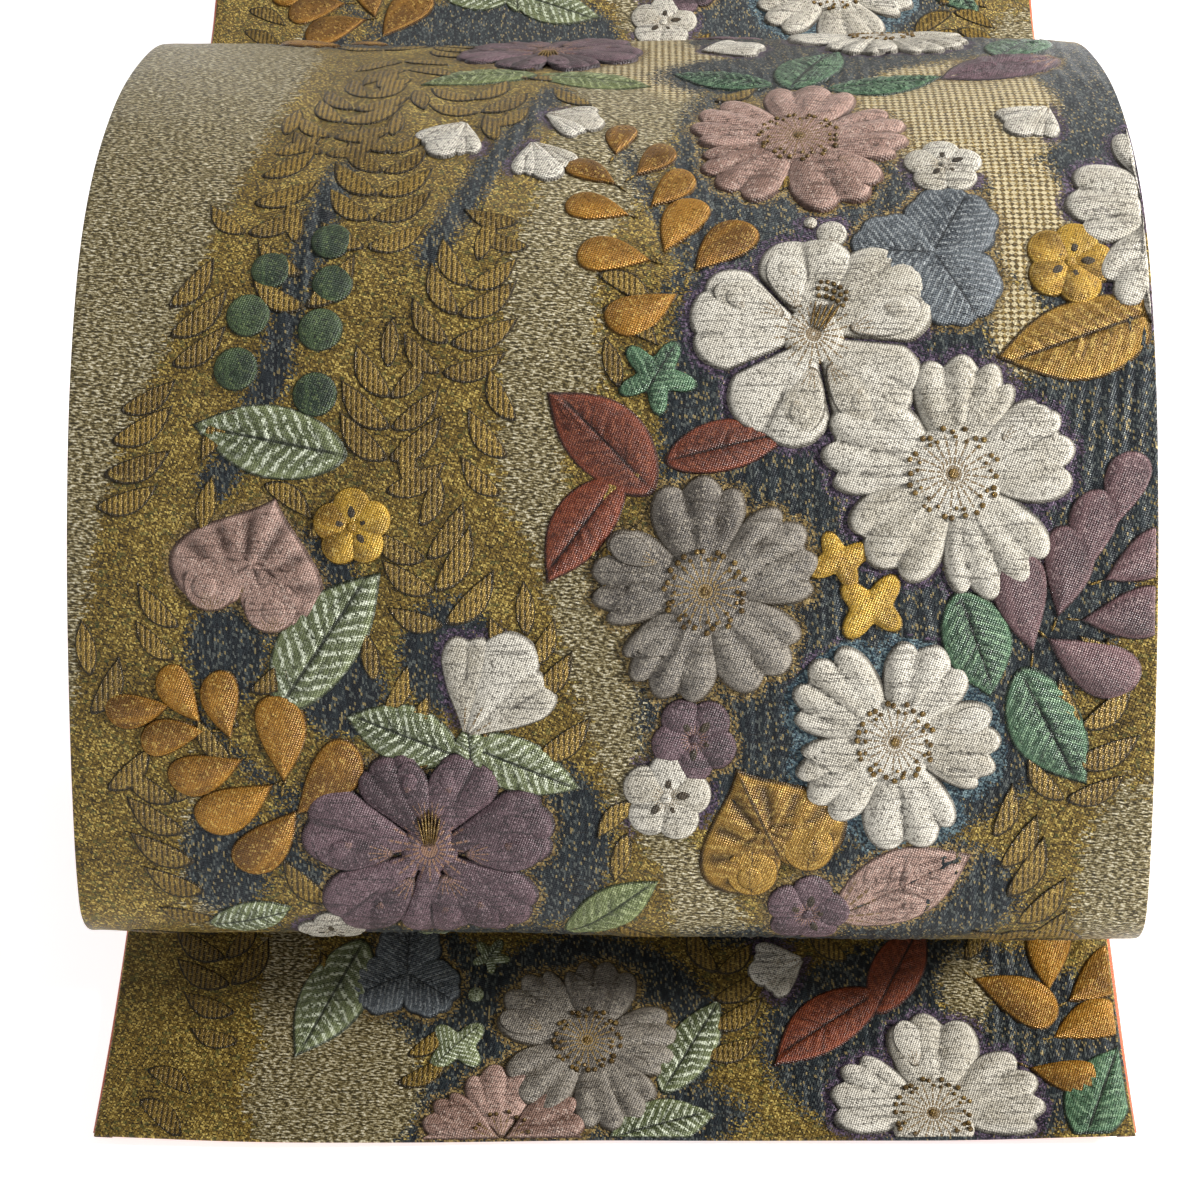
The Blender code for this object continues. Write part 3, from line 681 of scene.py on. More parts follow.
M = {
    "ground": ground_material(),
    "lining": lining_material(),
    "thread": thread_material(),
    "ivory": silk("ivory_petal", lin(226, 220, 206), lin(190, 182, 164), lin(72, 65, 52), lin(50, 43, 32), "petal", 0.5, 0.0, 0.82, sheen=0.1),
    "pink": silk("pink_petal", lin(190, 156, 142), lin(140, 108, 94), lin(58, 40, 33), lin(62, 40, 30), "petal", 0.45, 0.05, 0.72, lin(222, 202, 188)),
    "lavender": silk("lavender_petal", lin(154, 146, 134), lin(90, 82, 74), lin(36, 32, 28), lin(58, 48, 32), "petal", 0.45, 0.05, 0.78, lin(200, 190, 172), stamen=lin(150, 122, 66)),
    "mauve": silk("mauve_petal", lin(116, 90, 97), lin(72, 52, 58), lin(30, 21, 24), lin(28, 20, 22), "petal", 0.45, 0.05, 0.75, lin(166, 144, 148), stamen=lin(150, 112, 84)),
    "mauvelight": silk("mauve_drop", lin(132, 98, 100), lin(88, 60, 64), lin(38, 25, 28), lin(34, 24, 22), "drop", 0.40, 0.05, 0.68, lin(198, 172, 168)),
    "gold": silk("gold_drop", lin(174, 122, 36), lin(116, 78, 24), lin(68, 45, 14), lin(34, 23, 9), "drop", 0.36, 0.35, 0.55, lin(236, 202, 112)),
    "yellow": silk("yellow_gold", lin(206, 164, 58), lin(160, 120, 38), lin(66, 46, 14), lin(40, 28, 10), "drop", 0.36, 0.30, 0.62, lin(244, 216, 128)),
    "goldleaf": silk("gold_leaf", lin(180, 136, 48), lin(136, 98, 30), lin(62, 42, 13), lin(40, 27, 10), "leaf", 0.36, 0.35, 0.62, lin(236, 204, 116), line=0.3),
    "green": silk("green_leaf", lin(92, 132, 96), lin(38, 66, 48), lin(12, 25, 18), lin(13, 20, 14), "leaf", 0.34, 0.15, 0.74, lin(164, 196, 156), line=0.4),
    "palegreen": silk("pale_green_leaf", lin(142, 152, 104), lin(98, 108, 66), lin(34, 40, 20), lin(24, 30, 15), "leaf", 0.38, 0.1, 0.70, lin(222, 228, 204), line=0.9),
    "moss": silk("moss_leaf", lin(138, 150, 94), lin(98, 110, 62), lin(48, 58, 28), lin(34, 42, 20), "leaf", 0.4, 0.1, 0.6, lin(196, 204, 156), line=0.5),
    "berry": silk("green_berry", lin(84, 104, 66), lin(40, 58, 40), lin(14, 22, 16), lin(22, 24, 14), "drop", 0.38, 0.1, 0.85, lin(134, 150, 92)),
    "blue": silk("silver_blue_leaf", lin(116, 124, 130), lin(76, 84, 92), lin(24, 29, 35), lin(22, 27, 32), "leaf", 0.38, 0.15, 0.95, lin(200, 205, 205), line=0.38),
    "rust": silk("rust_leaf", lin(142, 64, 31), lin(98, 42, 19), lin(44, 16, 8), lin(30, 12, 7), "leaf", 0.40, 0.08, 0.62, lin(196, 116, 76), line=0.16),
    "frond": silk("gold_leaflet", lin(152, 122, 50), lin(118, 93, 36), lin(56, 44, 18), lin(30, 24, 11), "ribs", 0.38, 0.3, 0.45, lin(204, 178, 98)),
    "stamen": silk("stamen_gold", lin(142, 112, 54), lin(96, 72, 32), lin(46, 34, 16), lin(34, 26, 12), "drop", 0.38, 0.3, 0.5, lin(206, 180, 112)),
    "eye": silk("dark_eye", lin(74, 60, 38), lin(46, 38, 26), lin(22, 18, 12), lin(18, 14, 10), "drop", 0.5, 0.1, 0.5),
}

# ---- raised figures ----------------------------------------------------------
RINGS = np.array([0.12, 0.27, 0.42, 0.56, 0.69, 0.80, 0.885, 0.95, 1.0])
MID = np.array([0.25, 0.50, 0.72, 0.87, 0.95, 1.0])
LOW = np.array([0.45, 0.80, 0.93, 1.0])
DOT = np.array([0.6, 1.0])
KINDS = dict.fromkeys(("ivory", "pink", "lavender", "mauve", "mauvelight"), "petals")
KINDS.update(dict.fromkeys(("gold", "yellow", "goldleaf", "green", "palegreen", "moss", "blue", "rust"), "leaves"))
KINDS.update(dict.fromkeys(("frond", "stamen", "berry", "eye"), "small"))
outline_points = {}  # (stretch, colour group) -> edge places, for haloes and dents


class Figures:
    """The raised pieces of one kind on one stretch, as one mesh."""

    def __init__(self):
        self.co, self.uv, self.faces = [], [], []
        self.values = {k: [] for k in ("rho", "pa", "pb", "phi", "fold", "tint")}
        self.count = 0
        self.colours, self.slots = [], []

    def add(self, colour, co, uv, faces, **values):
        if colour not in self.colours:
            self.colours.append(colour)
        self.slots += [self.colours.index(colour)] * len(faces)
        self.co.append(co)
        self.uv.append(uv)
        for key, store in self.values.items():
            store.append(np.broadcast_to(values[key], (len(co),)))
        self.faces += [tuple(i + self.count for i in f) for f in faces]
        self.count += len(co)


figures = {}


def frame_of(turn):
    t = math.radians(turn)
    return np.array([math.cos(t), math.sin(t)]), np.array([-math.sin(t), math.cos(t)])


def pad(strip, colour, outline, centre, height, base=0.0, shape=(2.6, 0.62), relief=None, axis=None, rings=RINGS, group=None, skirt=0.55, fold=None, fade=0.16, whole=False, mark=1.0):
    """A raised piece: rings from its centre to its outline, domed, then a skirt
    that goes into the ground. axis is (base place, direction, side, length).
    relief adds height from the place in that axis; fold is how deep in a pleat, and its low values give the painted
    crease shade.
    whole turns the angle through both sides of the axis; mark scales the outline's tone."""
    outline = np.asarray(outline, float)
    centre = np.asarray(centre, float)
    lo_s, hi_s = 0.8, strip.length - 0.8
    if abs(centre[0]) > HALF + 12:
        return
    if not (-HALF + 1 < centre[0] < HALF - 1):
        centre = np.array([np.clip(centre[0], -HALF + 2.5, HALF - 2.5), centre[1]])
    if centre[1] < lo_s or centre[1] > hi_s:
        return
    outline = np.stack([np.clip(outline[:, 0], -HALF + 0.9, HALF - 0.9), np.clip(outline[:, 1], lo_s, hi_s)], axis=1)
    if np.ptp(outline[:, 0]) < min(2.5, 0.9 * height + 0.1) or np.ptp(outline[:, 1]) < 0.3:
        return
    n = len(outline)
    pts = [centre[None]]
    rho = [np.zeros(1)]
    for r in rings:
        pts.append(centre + (outline - centre) * r)
        rho.append(np.full(n, r))
    pts, rho = np.concatenate(pts), np.concatenate(rho)
    h = base + height * np.clip(1 - rho ** shape[0], 0, 1) ** shape[1]
    o, d, side, length = axis
    rel = pts - o
    x, y = rel @ d, rel @ side
    a, b = x / length, y / (0.5 * length)
    phi = np.abs(np.arctan2(y, x)) if whole else np.arctan2(y, np.maximum(x, 1e-3))
    if relief is not None:
        h = h + relief(x, y, a, phi, rho) * np.clip((1 - rho) / fade, 0, 1)
    # how deep in a pleat, 1 where there is none; low values darken the colour as painted crease shade
    deep = np.ones(len(pts)) if fold is None else fold(x, y, a, phi, rho)
    # the skirt: a little out and down into the ground
    out = outline - centre
    out = out / np.maximum(np.linalg.norm(out, axis=1, keepdims=True), 1e-6)
    low = outline + out * 0.22
    low[:, 0] = np.clip(low[:, 0], -HALF + 0.6, HALF - 0.6)
    low[:, 1] = np.clip(low[:, 1], lo_s - 0.4, hi_s + 0.4)
    pts = np.concatenate([pts, low])
    rho = np.concatenate([rho, np.full(n, 1.05)])
    h = np.concatenate([h, np.full(n, min(base, 0.0) - skirt if base < 0.6 else base - 0.75)])
    a, b, phi, deep = (np.concatenate([v, v[-n:]]) for v in (a, b, phi, deep))
    co = strip.space(pts[:, 0], pts[:, 1], h)
    faces = [(0, 1 + (i + 1) % n, 1 + i) for i in range(n)]
    for k in range(1, len(rings) + 1):
        for i in range(n):
            j = (i + 1) % n
            p, q = 1 + (k - 1) * n, 1 + k * n
            faces.append((p + i, p + j, q + j, q + i))
    area = 0.5 * np.sum(outline[:, 0] * np.roll(outline[:, 1], -1) - np.roll(outline[:, 0], -1) * outline[:, 1])
    if area > 0:  # rings run with +u to +s: turn the faces to look outward
        faces = [f[::-1] for f in faces]
    uv = pts + np.array([0.0, strip.chart_shift])
    tint = 0.5 + 0.5 * math.sin(centre[0] * 1.7 + centre[1] * 2.3)
    figures.setdefault((strip.name, KINDS[colour]), Figures()).add(
        colour, co, uv, faces, rho=rho * mark, pa=a, pb=b, phi=phi, fold=deep, tint=tint)
    if group:
        outline_points.setdefault((strip.name, group), []).append(outline)


def ring_angles(n):
    return np.arange(n) * TAU / n


def smooth01(x, lo, hi):
    t = np.clip((x - lo) / (hi - lo), 0, 1)
    return t * t * (3 - 2 * t)


def fan_petal(strip, colour, c, turn, R, spread, lobes, height, base, deep, rings=RINGS, n_out=34, group=True, notch=0.10, root=0.05, skew=0.0, split=0.17, belly=0.13):
    """A broad petal about the flower's middle: scalloped outside, narrow inside,
    with a puffed pleat behind each scallop."""
    d, side = frame_of(turn)
    w = math.radians(spread)
    phi = np.linspace(-w, w, n_out)
    k = phi / w

    def lobe(angle):
        q = np.clip(angle / w, -1, 1)
        q = q + skew * (1 - q * q)
        return np.abs(np.sin(0.5 * PI * lobes * (q + 1))) ** 0.75

    far = R * (1 - split * np.abs(k) ** 3.0) * (1 - notch + notch * lobe(phi))
    n_side = 6
    t = np.linspace(0, 1, n_side + 1)[1:]
    side_r = far[-1] + (root * R - far[-1]) * t
    side_a = w * (1 + belly * np.sin(PI * np.minimum(1.2 * t, 1.0)) - 0.06 * t**2)
    r = np.concatenate([far, side_r, side_r[::-1]])
    ang = np.concatenate([phi, side_a, -side_a[::-1]])
    out = c + (r * np.cos(ang))[:, None] * d + (r * np.sin(ang))[:, None] * side
    mid = c + d * R * 0.60

    def relief(x, y, a, angle, rho):
        near = np.hypot(x, y) / R
        up = (lobe(angle) - 0.62) * smooth01(near, 0.30, 0.62)
        fine = 0.22 * np.cos(angle * 26) * smooth01(near, 0.16, 0.26) * (1 - smooth01(near, 0.42, 0.60))
        return deep * (1.5 * up + fine)

    # painted crease shade: low in the valleys between the scallops
    def fold(x, y, a, angle, rho):
        near = np.hypot(x, y) / R
        return 1 - (1 - np.clip(lobe(angle) * 1.7, 0, 1)) * smooth01(near, 0.36, 0.62)

    pad(strip, colour, out, mid, height, base, (3.4, 0.52), relief, (c, d, side, R), rings, colour if group else None, fold=fold, fade=0.10)


def leaf_outline(c, turn, length, breadth, bend=0.12, n=40):
    """Round at the base, pointed at the tip, bent a little."""
    d, side = frame_of(turn)
    t = ring_angles(n)
    a = 0.5 + 0.5 * np.cos(t)
    body = np.sin(PI * np.clip(a, 0, 1) ** 0.92) ** 0.62 * np.where(a > 0.5, (1 - ((a - 0.5) / 0.5) ** 2.6) ** 0.5, 1)
    x = (a - 0.5) * length
    y = np.sign(np.sin(t)) * body * breadth / 2
    y = y + bend * length * ((a - 0.4) ** 2 - 0.1)
    return c + x[:, None] * d + y[:, None] * side, (c - 0.5 * length * d, d, side, length)


def oval(o, turn, length, breadth, n=26):
    """A round-ended petal or lobe from its base at o."""
    d, side = frame_of(turn)
    t = ring_angles(n)
    x, y = np.cos(t), np.sin(t)
    wide = 1 - 0.38 * np.clip(-x, 0, 1) ** 1.1
    out = o + ((0.56 + np.where(x > 0, 0.44, 0.56) * x) * length)[:, None] * d + (0.5 * breadth * y * wide)[:, None] * side
    return out, o + 0.56 * length * d, (o, d, side, length)


def disc_at(strip, colour, c, r, height, base=0.0, n=18, group=None, rings=MID[::2]):
    t = ring_angles(n)
    out = c + r * np.stack([np.cos(t), np.sin(t)], 1)
    d, side = frame_of(90)
    pad(strip, colour, out, c, height, base, (2.2, 0.6), None, (c - r * d, d, side, 2 * r), np.append(rings[:-1], 1.0), group)


def bar(strip, colour, a, b, width, height, base):
    """A thin ridge from a to b."""
    a, b = np.asarray(a, float), np.asarray(b, float)
    d = b - a
    length = max(np.linalg.norm(d), 1e-6)
    d = d / length
    side = np.array([-d[1], d[0]])
    t = ring_angles(8)
    out = (a + b) / 2 + (np.cos(t) * length / 2)[:, None] * d + (np.sin(t) * width / 2)[:, None] * side
    pad(strip, colour, out, (a + b) / 2, height, base, (2, 0.5), None, (a, d, side, length), DOT, None, 0.3)


def ring_of_beads(strip, c, r, count, size, base, key):
    for i in range(count):
        t = TAU * (i + 0.25 * math.sin(2.7 * i + key)) / count
        p = c + r * (1 + 0.05 * math.sin(3 * i + key)) * np.array([math.cos(t), math.sin(t)])
        disc_at(strip, "stamen", p, size, 0.5, base, 7, None, DOT)


def middle(strip, colour, c, R, turn, reach, height, pleats):
    """A flower's middle, where its petals run together in fine pleats."""
    d, side = frame_of(turn)
    t = ring_angles(54)
    rad = R * reach * (1 + 0.06 * np.cos(5 * t))
    out = c + (rad * np.cos(t))[:, None] * d + (rad * np.sin(t))[:, None] * side

    def relief(x, y, a, angle, rho):
        return 0.12 * np.cos(angle * pleats * 0.5) * smooth01(rho, 0.3, 0.6) - 0.25 * (1 - smooth01(rho, 0.1, 0.6))

    pad(strip, colour, out, c, height, 0.0, (5.0, 0.5), relief, (c, d, side, R), MID, whole=True, mark=0.7)


def sakura(strip, u, s, size, breadth, turn, colour):
    """Five broad petals with uneven pleats, a ring of gold beads and fine stamens."""
    c = np.array([u, s], float)
    R = size / 2
    key = round(u * 7 + s * 3)
    big = size > 52
    tall = 1.55 if big else 1.2
    for i in range(5):
        t = turn + 72 * i + 3 * math.sin(key + 2.1 * i)
        long = R * (1.03 + 0.05 * math.sin(key * 1.7 + 3 * i))
        lobes = 4 if (i + key) % 3 else 3
        fan_petal(strip, colour, c, t, long, 35.3, lobes, tall, 0.04 + 0.30 * ((i * 2) % 5) / 4, 0.92 if big else 0.6,
                  skew=0.22 * math.sin(key * 0.9 + 2.6 * i), split=0.23, notch=0.12)
        if big and (i + key) % 5 == 1:
            # a lobe that is turned back over the petal
            d, side = frame_of(t)
            hand = 1 if (i + key) % 4 < 2 else -1
            o2 = c + d * long * 0.44 + side * long * 0.16 * hand
            out, mid, ax = oval(o2, t + 16 * hand, long * 0.46, long * 0.26)
            pad(strip, colour, out, mid, 0.55, tall + 0.10, (2.2, 0.6), None, ax, MID, skirt=0.3)
    top = tall + 0.34
    middle(strip, colour, c, R, turn, 0.43, top, 24 if big else 18)
    ring_of_beads(strip, c, 0.35 * R, 24 if big else 18, 0.80 if big else 0.62, top - 0.08, key)
    if big:
        ring_of_beads(strip, c, 0.285 * R, 16, 0.62, top - 0.08, key + 2)
    disc_at(strip, "stamen", c, 0.035 * R + 0.2, 0.25, top - 0.1, 8, None, DOT)


def rolled(strip, colour, c, t, long, wide, curl, base, ang, tall=1.5):
    """A round petal whose rim is rolled, with a scroll inside it."""
    d, side = frame_of(t)
    fan_petal(strip, colour, c, t, long, ang, 2 if curl > 0 else 3, tall, base, 0.42, notch=0.05, root=0.06, belly=0.0, split=0.22)
    o2 = c + d * long * 0.26 + side * wide * 0.13 * curl
    out, mid, ax = oval(o2, t + 11 * curl, long * 0.60, wide * 0.40, 30)
    pad(strip, colour, out, mid, 0.70, base + tall - 0.34, (2.2, 0.7), None, ax, MID)
    o3 = o2 + d * long * 0.32 - side * wide * 0.02 * curl
    out, mid, ax = oval(o3, t + 44 * curl, long * 0.20, wide * 0.20, 18)
    pad(strip, colour, out, mid, 0.40, base + tall + 0.22, (2.0, 0.8), None, ax, MID[::2])


def camellia(strip, u, s, size, breadth, turn, colour):
    """Five round petals, each with scrolls, and a brush of stamens to one side."""
    c = np.array([u, s], float)
    R = size / 2
    for i, (dt, long, wide, curl) in enumerate(
        ((-8, 0.92, 0.86, 1), (66, 1.04, 0.86, -1), (142, 1.00, 0.92, 1), (216, 1.00, 0.88, -1), (290, 1.06, 0.92, -1))
    ):
        rolled(strip, colour, c, turn + dt, R * long, R * wide, curl, 0.06 + 0.22 * ((2 * i) % 5) / 4, 36.2)
    middle(strip, colour, c, R, turn, 0.27, 1.72, 14)
    d, side = frame_of(turn - 36)
    for k in range(5):
        w = (k - 2) * 1.7
        bar(strip, "stamen", c + side * w * 0.5 + d * 1.5, c + d * (10.5 + 1.2 * math.cos(k)) + side * w, 0.75, 0.5, 1.75)
    for k in range(15):
        row, col = k % 3, k // 3
        p = c + d * (12.4 + 2.1 * row - 0.25 * (col - 2) ** 2) + side * (2.0 * (col - 2) + 0.5 * (row - 1) + 0.3 * math.cos(2.4 * k))
        disc_at(strip, "stamen", p, 0.72, 0.5, 1.75, 7, None, DOT)


def peony(strip, u, s, size, breadth, turn, colour):
    """Heavy lobes round a low centre."""
    c = np.array([u, s], float)
    R = size / 2
    for i, (dt, long, wide, curl) in enumerate(
        ((0, 0.84, 0.84, 1), (50, 0.98, 0.74, -1), (-50, 1.00, 0.74, 1), (104, 1.00, 0.80, -1), (-104, 1.02, 0.80, 1),
         (152, 0.84, 0.62, 1), (-152, 0.84, 0.62, -1))
    ):
        rolled(strip, colour, c, turn + dt, R * long, R * wide, curl, 0.04 + 0.30 * ((3 * i) % 7) / 6, 25.0)
    middle(strip, colour, c, R, turn, 0.22, 1.75, 12)
    d, side = frame_of(turn + 180)
    for k in range(7):
        w = (k - 3) * 1.1
        bar(strip, "stamen", c + side * w * 0.4 + d, c + d * (12.5 - 0.25 * w * w) + side * w, 0.7, 0.5, 1.75)


def plum(strip, u, s, size, breadth, turn, colour):
    """A small flower of five round petals, each with a pierced eye."""
    c = np.array([u, s], float)
    R = size / 2
    for i in range(5):
        d, side = frame_of(turn + 72 * i)
        out, mid, ax = oval(c, turn + 72 * i, R * 1.04, R * 1.0, 24)
        pad(strip, colour, out, mid, 1.25, 0.05 + 0.12 * ((2 * i) % 5) / 4, (2.6, 0.55), None, ax, MID, group=colour)
        eye = c + d * R * 0.42
        t = ring_angles(10)
        out = eye + (np.cos(t) * R * 0.19)[:, None] * d + (np.sin(t) * R * 0.10)[:, None] * side
        pad(strip, "eye", out, eye, 0.12, 1.22, (2, 0.6), None, (eye, d, side, R), DOT, None, 0.4)
    disc_at(strip, colour, c, R * 0.13, 0.45, 1.0, 9, None, DOT)


def ribs(step, deep, slant=0.9):
    """A leaf's midrib as a groove, and side ribs as ridges, with painted crease shade in the grooves."""

    def relief(x, y, a, phi, rho):
        mid = np.exp(-((y / 0.8) ** 2))
        return deep * np.cos(TAU * (x - slant * np.abs(y)) / step) * (1 - mid) - 1.5 * deep * mid

    # painted crease shade: low along the midrib and between the side ribs
    def fold(x, y, a, phi, rho):
        mid = 0.7 * np.exp(-((y / 0.4) ** 2))
        side_rib = 0.5 + 0.5 * np.cos(TAU * (x - slant * np.abs(y)) / step)
        return np.clip(0.25 + 1.3 * side_rib, 0, 1) * (1 - mid)

    return relief, fold


def leaf(strip, u, s, size, breadth, turn, colour, step=4.6, deep=0.32):
    c = np.array([u, s], float)
    bend = 0.20 * math.sin(u * 0.31 + s * 0.17)
    if colour in ("pink", "mauve"):
        deep = 0.55
    out, ax = leaf_outline(c, turn, size, breadth, bend)
    relief, fold = ribs(step, deep)
    pad(strip, colour, out, c, 1.15, 0.04, (2.3, 0.6), relief, ax, group=colour, fold=fold)


def ribleaf(strip, u, s, size, breadth, turn, colour):
    leaf(strip, u, s, size, breadth, turn, "goldleaf", 6.2, 0.5)
    d, side = frame_of(turn)
    c = np.array([u, s], float)
    bar(strip, "gold", c - d * size * 0.5, c - d * size * 0.92 + side * size * -0.10, 1.8, 0.5, 0.1)


def drop(strip, u, s, size, breadth, turn, colour):
    """A bead of a spray: pointed at the stem, round outside, a little curled."""
    c = np.array([u, s], float)
    d, side = frame_of(turn)
    size = size * 1.14
    t = ring_angles(30)
    x = -np.cos(t) * size / 2
    y = 0.50 * size * 0.74 * np.sin(t) * np.abs(np.sin(t / 2)) ** 1.1
    curl = 0.17 * size * (1 if math.sin(u * 1.3 + s) > 0 else -1)
    y = y + curl * (0.25 - (x / size) ** 2) * 1.4
    out = c + x[:, None] * d + y[:, None] * side
    mid = c + d * size * 0.16 + side * curl * 0.25
    pad(strip, colour, out, mid, 1.5, 0.02, (2.3, 0.55), None, (c - d * size / 2, d, side, size), MID, group=colour)
    stem = c - d * size * 0.5
    bar(strip, "frond", stem, stem - d * 4.5 + side * 1.2, 0.8, 0.4, 0.05)


def heart(strip, u, s, size, breadth, turn, colour):
    """A heart-shaped leaf: fanned ribs, and two scrolls at its notch."""
    c = np.array([u, s], float)
    d, side = frame_of(turn)
    t = ring_angles(96) + 1e-3
    hx = 16 * np.sin(t) ** 3 + 1.2 * np.sin(t)
    hy = 13 * np.cos(t) - 3.6 * np.cos(2 * t) - 1.6 * np.cos(3 * t) - 0.6 * np.cos(4 * t)
    scale = size / 31.0
    out = c + (-hy * scale * 0.98)[:, None] * d + (hx * scale * 0.97)[:, None] * side
    base = c - d * 5.0 * scale
    name = "goldleaf" if colour == "gold" else colour
    at = 0.30 * size

    def rays(x, y):
        return np.abs(np.cos(6.5 * np.arctan2(y, x - at)))

    def relief(x, y, a, phi, rho):
        return 1.15 * (rays(x, y) ** 0.6 - 0.6) * smooth01(np.hypot(x - at, y), 3, 9)

    # painted crease shade: low in the grooves between the fanned ribs
    def fold(x, y, a, phi, rho):
        return 1 - (1 - np.clip(rays(x, y) * 0.72, 0, 1)) * smooth01(np.hypot(x - at, y), 2, 7)

    pad(strip, name, out, c + d * 1.0, 1.15, 0.04, (3.2, 0.55), relief, (base - d * 0.3 * size, d, side, size), group=colour, fold=fold)
    for k in (-1, 1):
        o = base - d * 1.2 * scale + side * k * 6.6 * scale
        disc_at(strip, name, o, 5.6 * scale, 0.60, 0.85, 24, None, MID)
        disc_at(strip, name, o + side * k * 0.9 * scale - d * 0.8 * scale, 2.7 * scale, 0.35, 1.36, 14, None, MID[::2])


def kiri(strip, u, s, size, breadth, turn, colour):
    """A broad leaf of three lobes with cut edges."""
    c = np.array([u, s], float)
    relief, fold = ribs(3.8, 0.16, 0.8)
    for k, (dt, r, far) in enumerate(((0, 0.52, 0.25), (116, 0.50, 0.24), (238, 0.50, 0.25))):
        d, side = frame_of(turn + dt)
        t = ring_angles(54)
        o = c + d * size * far
        rad = size * r * 0.5 * (1 + 0.085 * np.abs(np.sin(4.5 * t)) - 0.04 - 0.10 * np.cos(2 * t))
        out = o + (rad * np.cos(t) * 1.12)[:, None] * d + (rad * np.sin(t))[:, None] * side
        pad(strip, colour, out, o, 1.0, 0.05 + 0.12 * k, (3.0, 0.55), relief, (c, d, side, size * 0.55), group=colour, fold=fold)


def ivy(strip, u, s, size, breadth, turn, colour):
    c = np.array([u, s], float)
    d, side = frame_of(turn)
    t = ring_angles(50)
    rad = size / 2 * (0.74 + 0.26 * np.cos(5 * t) + 0.05 * np.cos(t))
    out = c + (rad * np.cos(t))[:, None] * d + (rad * np.sin(t))[:, None] * side
    relief, fold = ribs(4.0, 0.14)
    pad(strip, colour, out, c, 1.1, 0.04, (2.4, 0.6), relief, (c - d * size / 2, d, side, size), group=colour, fold=fold)


def bits(strip, u, s, size, breadth, turn, colour):
    c = np.array([u, s], float)
    d, side = frame_of(turn)
    t = ring_angles(44)
    rad = size / 2 * (0.76 + 0.24 * np.cos(4 * t) + 0.08 * np.cos(2 * t + 1))
    out = c + (rad * np.cos(t))[:, None] * d + (rad * np.sin(t))[:, None] * side
    pad(strip, colour, out, c, 1.35, 0.04, (2.2, 0.6), None, (c - d * size / 2, d, side, size), group=colour)


def bud(strip, u, s, size, breadth, turn, colour):
    """A half-open flower seen from its side: a fan of petals from one base."""
    d, side = frame_of(turn)
    c = np.array([u, s], float) - d * size * 0.46
    for k, (dt, long, spread) in enumerate(((27, 0.92, 19), (-27, 0.90, 19), (0, 1.04, 20))):
        fan_petal(strip, colour, c, turn + dt, size * long, spread, 2 if k < 2 else 1, 1.15, 0.05 + 0.12 * k, 0.24, MID, 20, notch=0.07)


def disc(strip, u, s, size, breadth, turn, colour):
    disc_at(strip, colour, np.array([u, s], float), size / 2, 1.2, 0.03, 24, colour, MID)


def frond(strip, u, s, length, turn, allowed):
    """A spray of ribbed leaflets with dark outlines, low in the gold ground."""
    c = np.array([u, s], float)
    d, side = frame_of(turn)
    k = math.sin(u * 0.7 + s * 0.3)
    pairs = max(3, round(length / 10))
    for i in range(pairs + 1):
        at = (i + 0.3) / pairs - 0.5
        stem = c + d * at * length + side * k * 6 * (at * at - 0.1)
        for sgn in (-1, 1) if i < pairs else (0,):
            out_turn = turn + sgn * (64 - 26 * (at + 0.5) + 5 * math.sin(3 * i + k))
            ld, ls = frame_of(out_turn)
            big = (19.5 - 6.0 * abs(at + 0.1)) * (1 + 0.10 * math.sin(7 * i + 5 * sgn + k))
            lc = stem + ld * (big * 0.54)
            if not (-HALF + 5 < lc[0] < HALF - 5) or not allowed(lc[0], lc[1]):
                continue
            out, ax = leaf_outline(lc, out_turn, big, big * 0.36, -0.42 * sgn, 22)
            pad(strip, "frond", out, lc, 0.28, 0.26 + 0.03 * (i % 3), (4.0, 0.6), None, ax, LOW, None, 0.6)


MAKERS = {
    "sakura": sakura, "camellia": camellia, "peony": peony, "plum": plum, "leaf": leaf, "ribleaf": ribleaf,
    "drop": drop, "heart": heart, "kiri": kiri, "ivy": ivy, "bits": bits, "bud": bud, "disc": disc,
}


def lay_chart(strip, chart, shift, lowest, highest):
    """Make the rows of a chart that fall on this stretch."""
    for kind, u, s, size, breadth, turn, colour in chart:
        at = s + shift
        if lowest < at < highest:
            MAKERS[kind](strip, u, at, size, breadth, turn, colour)


def lay_fronds(strip, zones, lowest, highest, gap_u=39.0, gap_s=41.0):
    """Sprays all over the gold ground, none on the figures or the other grounds."""
    marks = tree_of(strip, tuple(KINDS) + ("gold",))

    def allowed(u, s):
        pale, _, navy = zones(np.array([float(u)]), np.array([float(s + strip.chart_shift)]))
        if pale[0] > 0.5 or navy[0] > 1.5:
            return False
        return marks is None or marks.find((u, s, 0.0))[2] > 2.2

    rows = int((highest - lowest) / gap_s) + 1
    for j in range(rows):
        for i in range(int(SASH_WIDTH / gap_u) + 1):
            u = -HALF + 12 + gap_u * i + (gap_u / 2) * (j % 2) + 4 * math.sin(5.1 * i + 2.3 * j)
            s = lowest + gap_s * j + 5 * math.sin(3.7 * i + 1.9 * j)
            turn = 90 + 16 * math.sin(2.2 * i + 1.3 * j) + (180 if (i * 3 + j) % 7 == 0 else 0)
            if abs(u) < HALF - 6 and lowest <= s <= highest:
                frond(strip, u, s, 40 + 8 * math.sin(i + 2 * j), turn, allowed)


# ---- where each ground lies ------------------------------------------------


def spots(u, s, table):
    best = np.full(u.shape, -60.0)
    for cu, cs, ru, rs in table:
        d = 1 - np.hypot((u - cu) / ru, (s - cs) / rs)
        best = np.maximum(best, d * min(ru, rs))
    return best


def strokes(u, s, table):
    best = np.full(u.shape, -60.0)
    for half, pts in table:
        for (au, a_s), (bu, bs) in zip(pts, pts[1:]):
            du, ds = bu - au, bs - a_s
            t = np.clip(((u - au) * du + (s - a_s) * ds) / (du * du + ds * ds), 0, 1)
            best = np.maximum(best, half - np.hypot(u - au - t * du, s - a_s - t * ds))
    return best


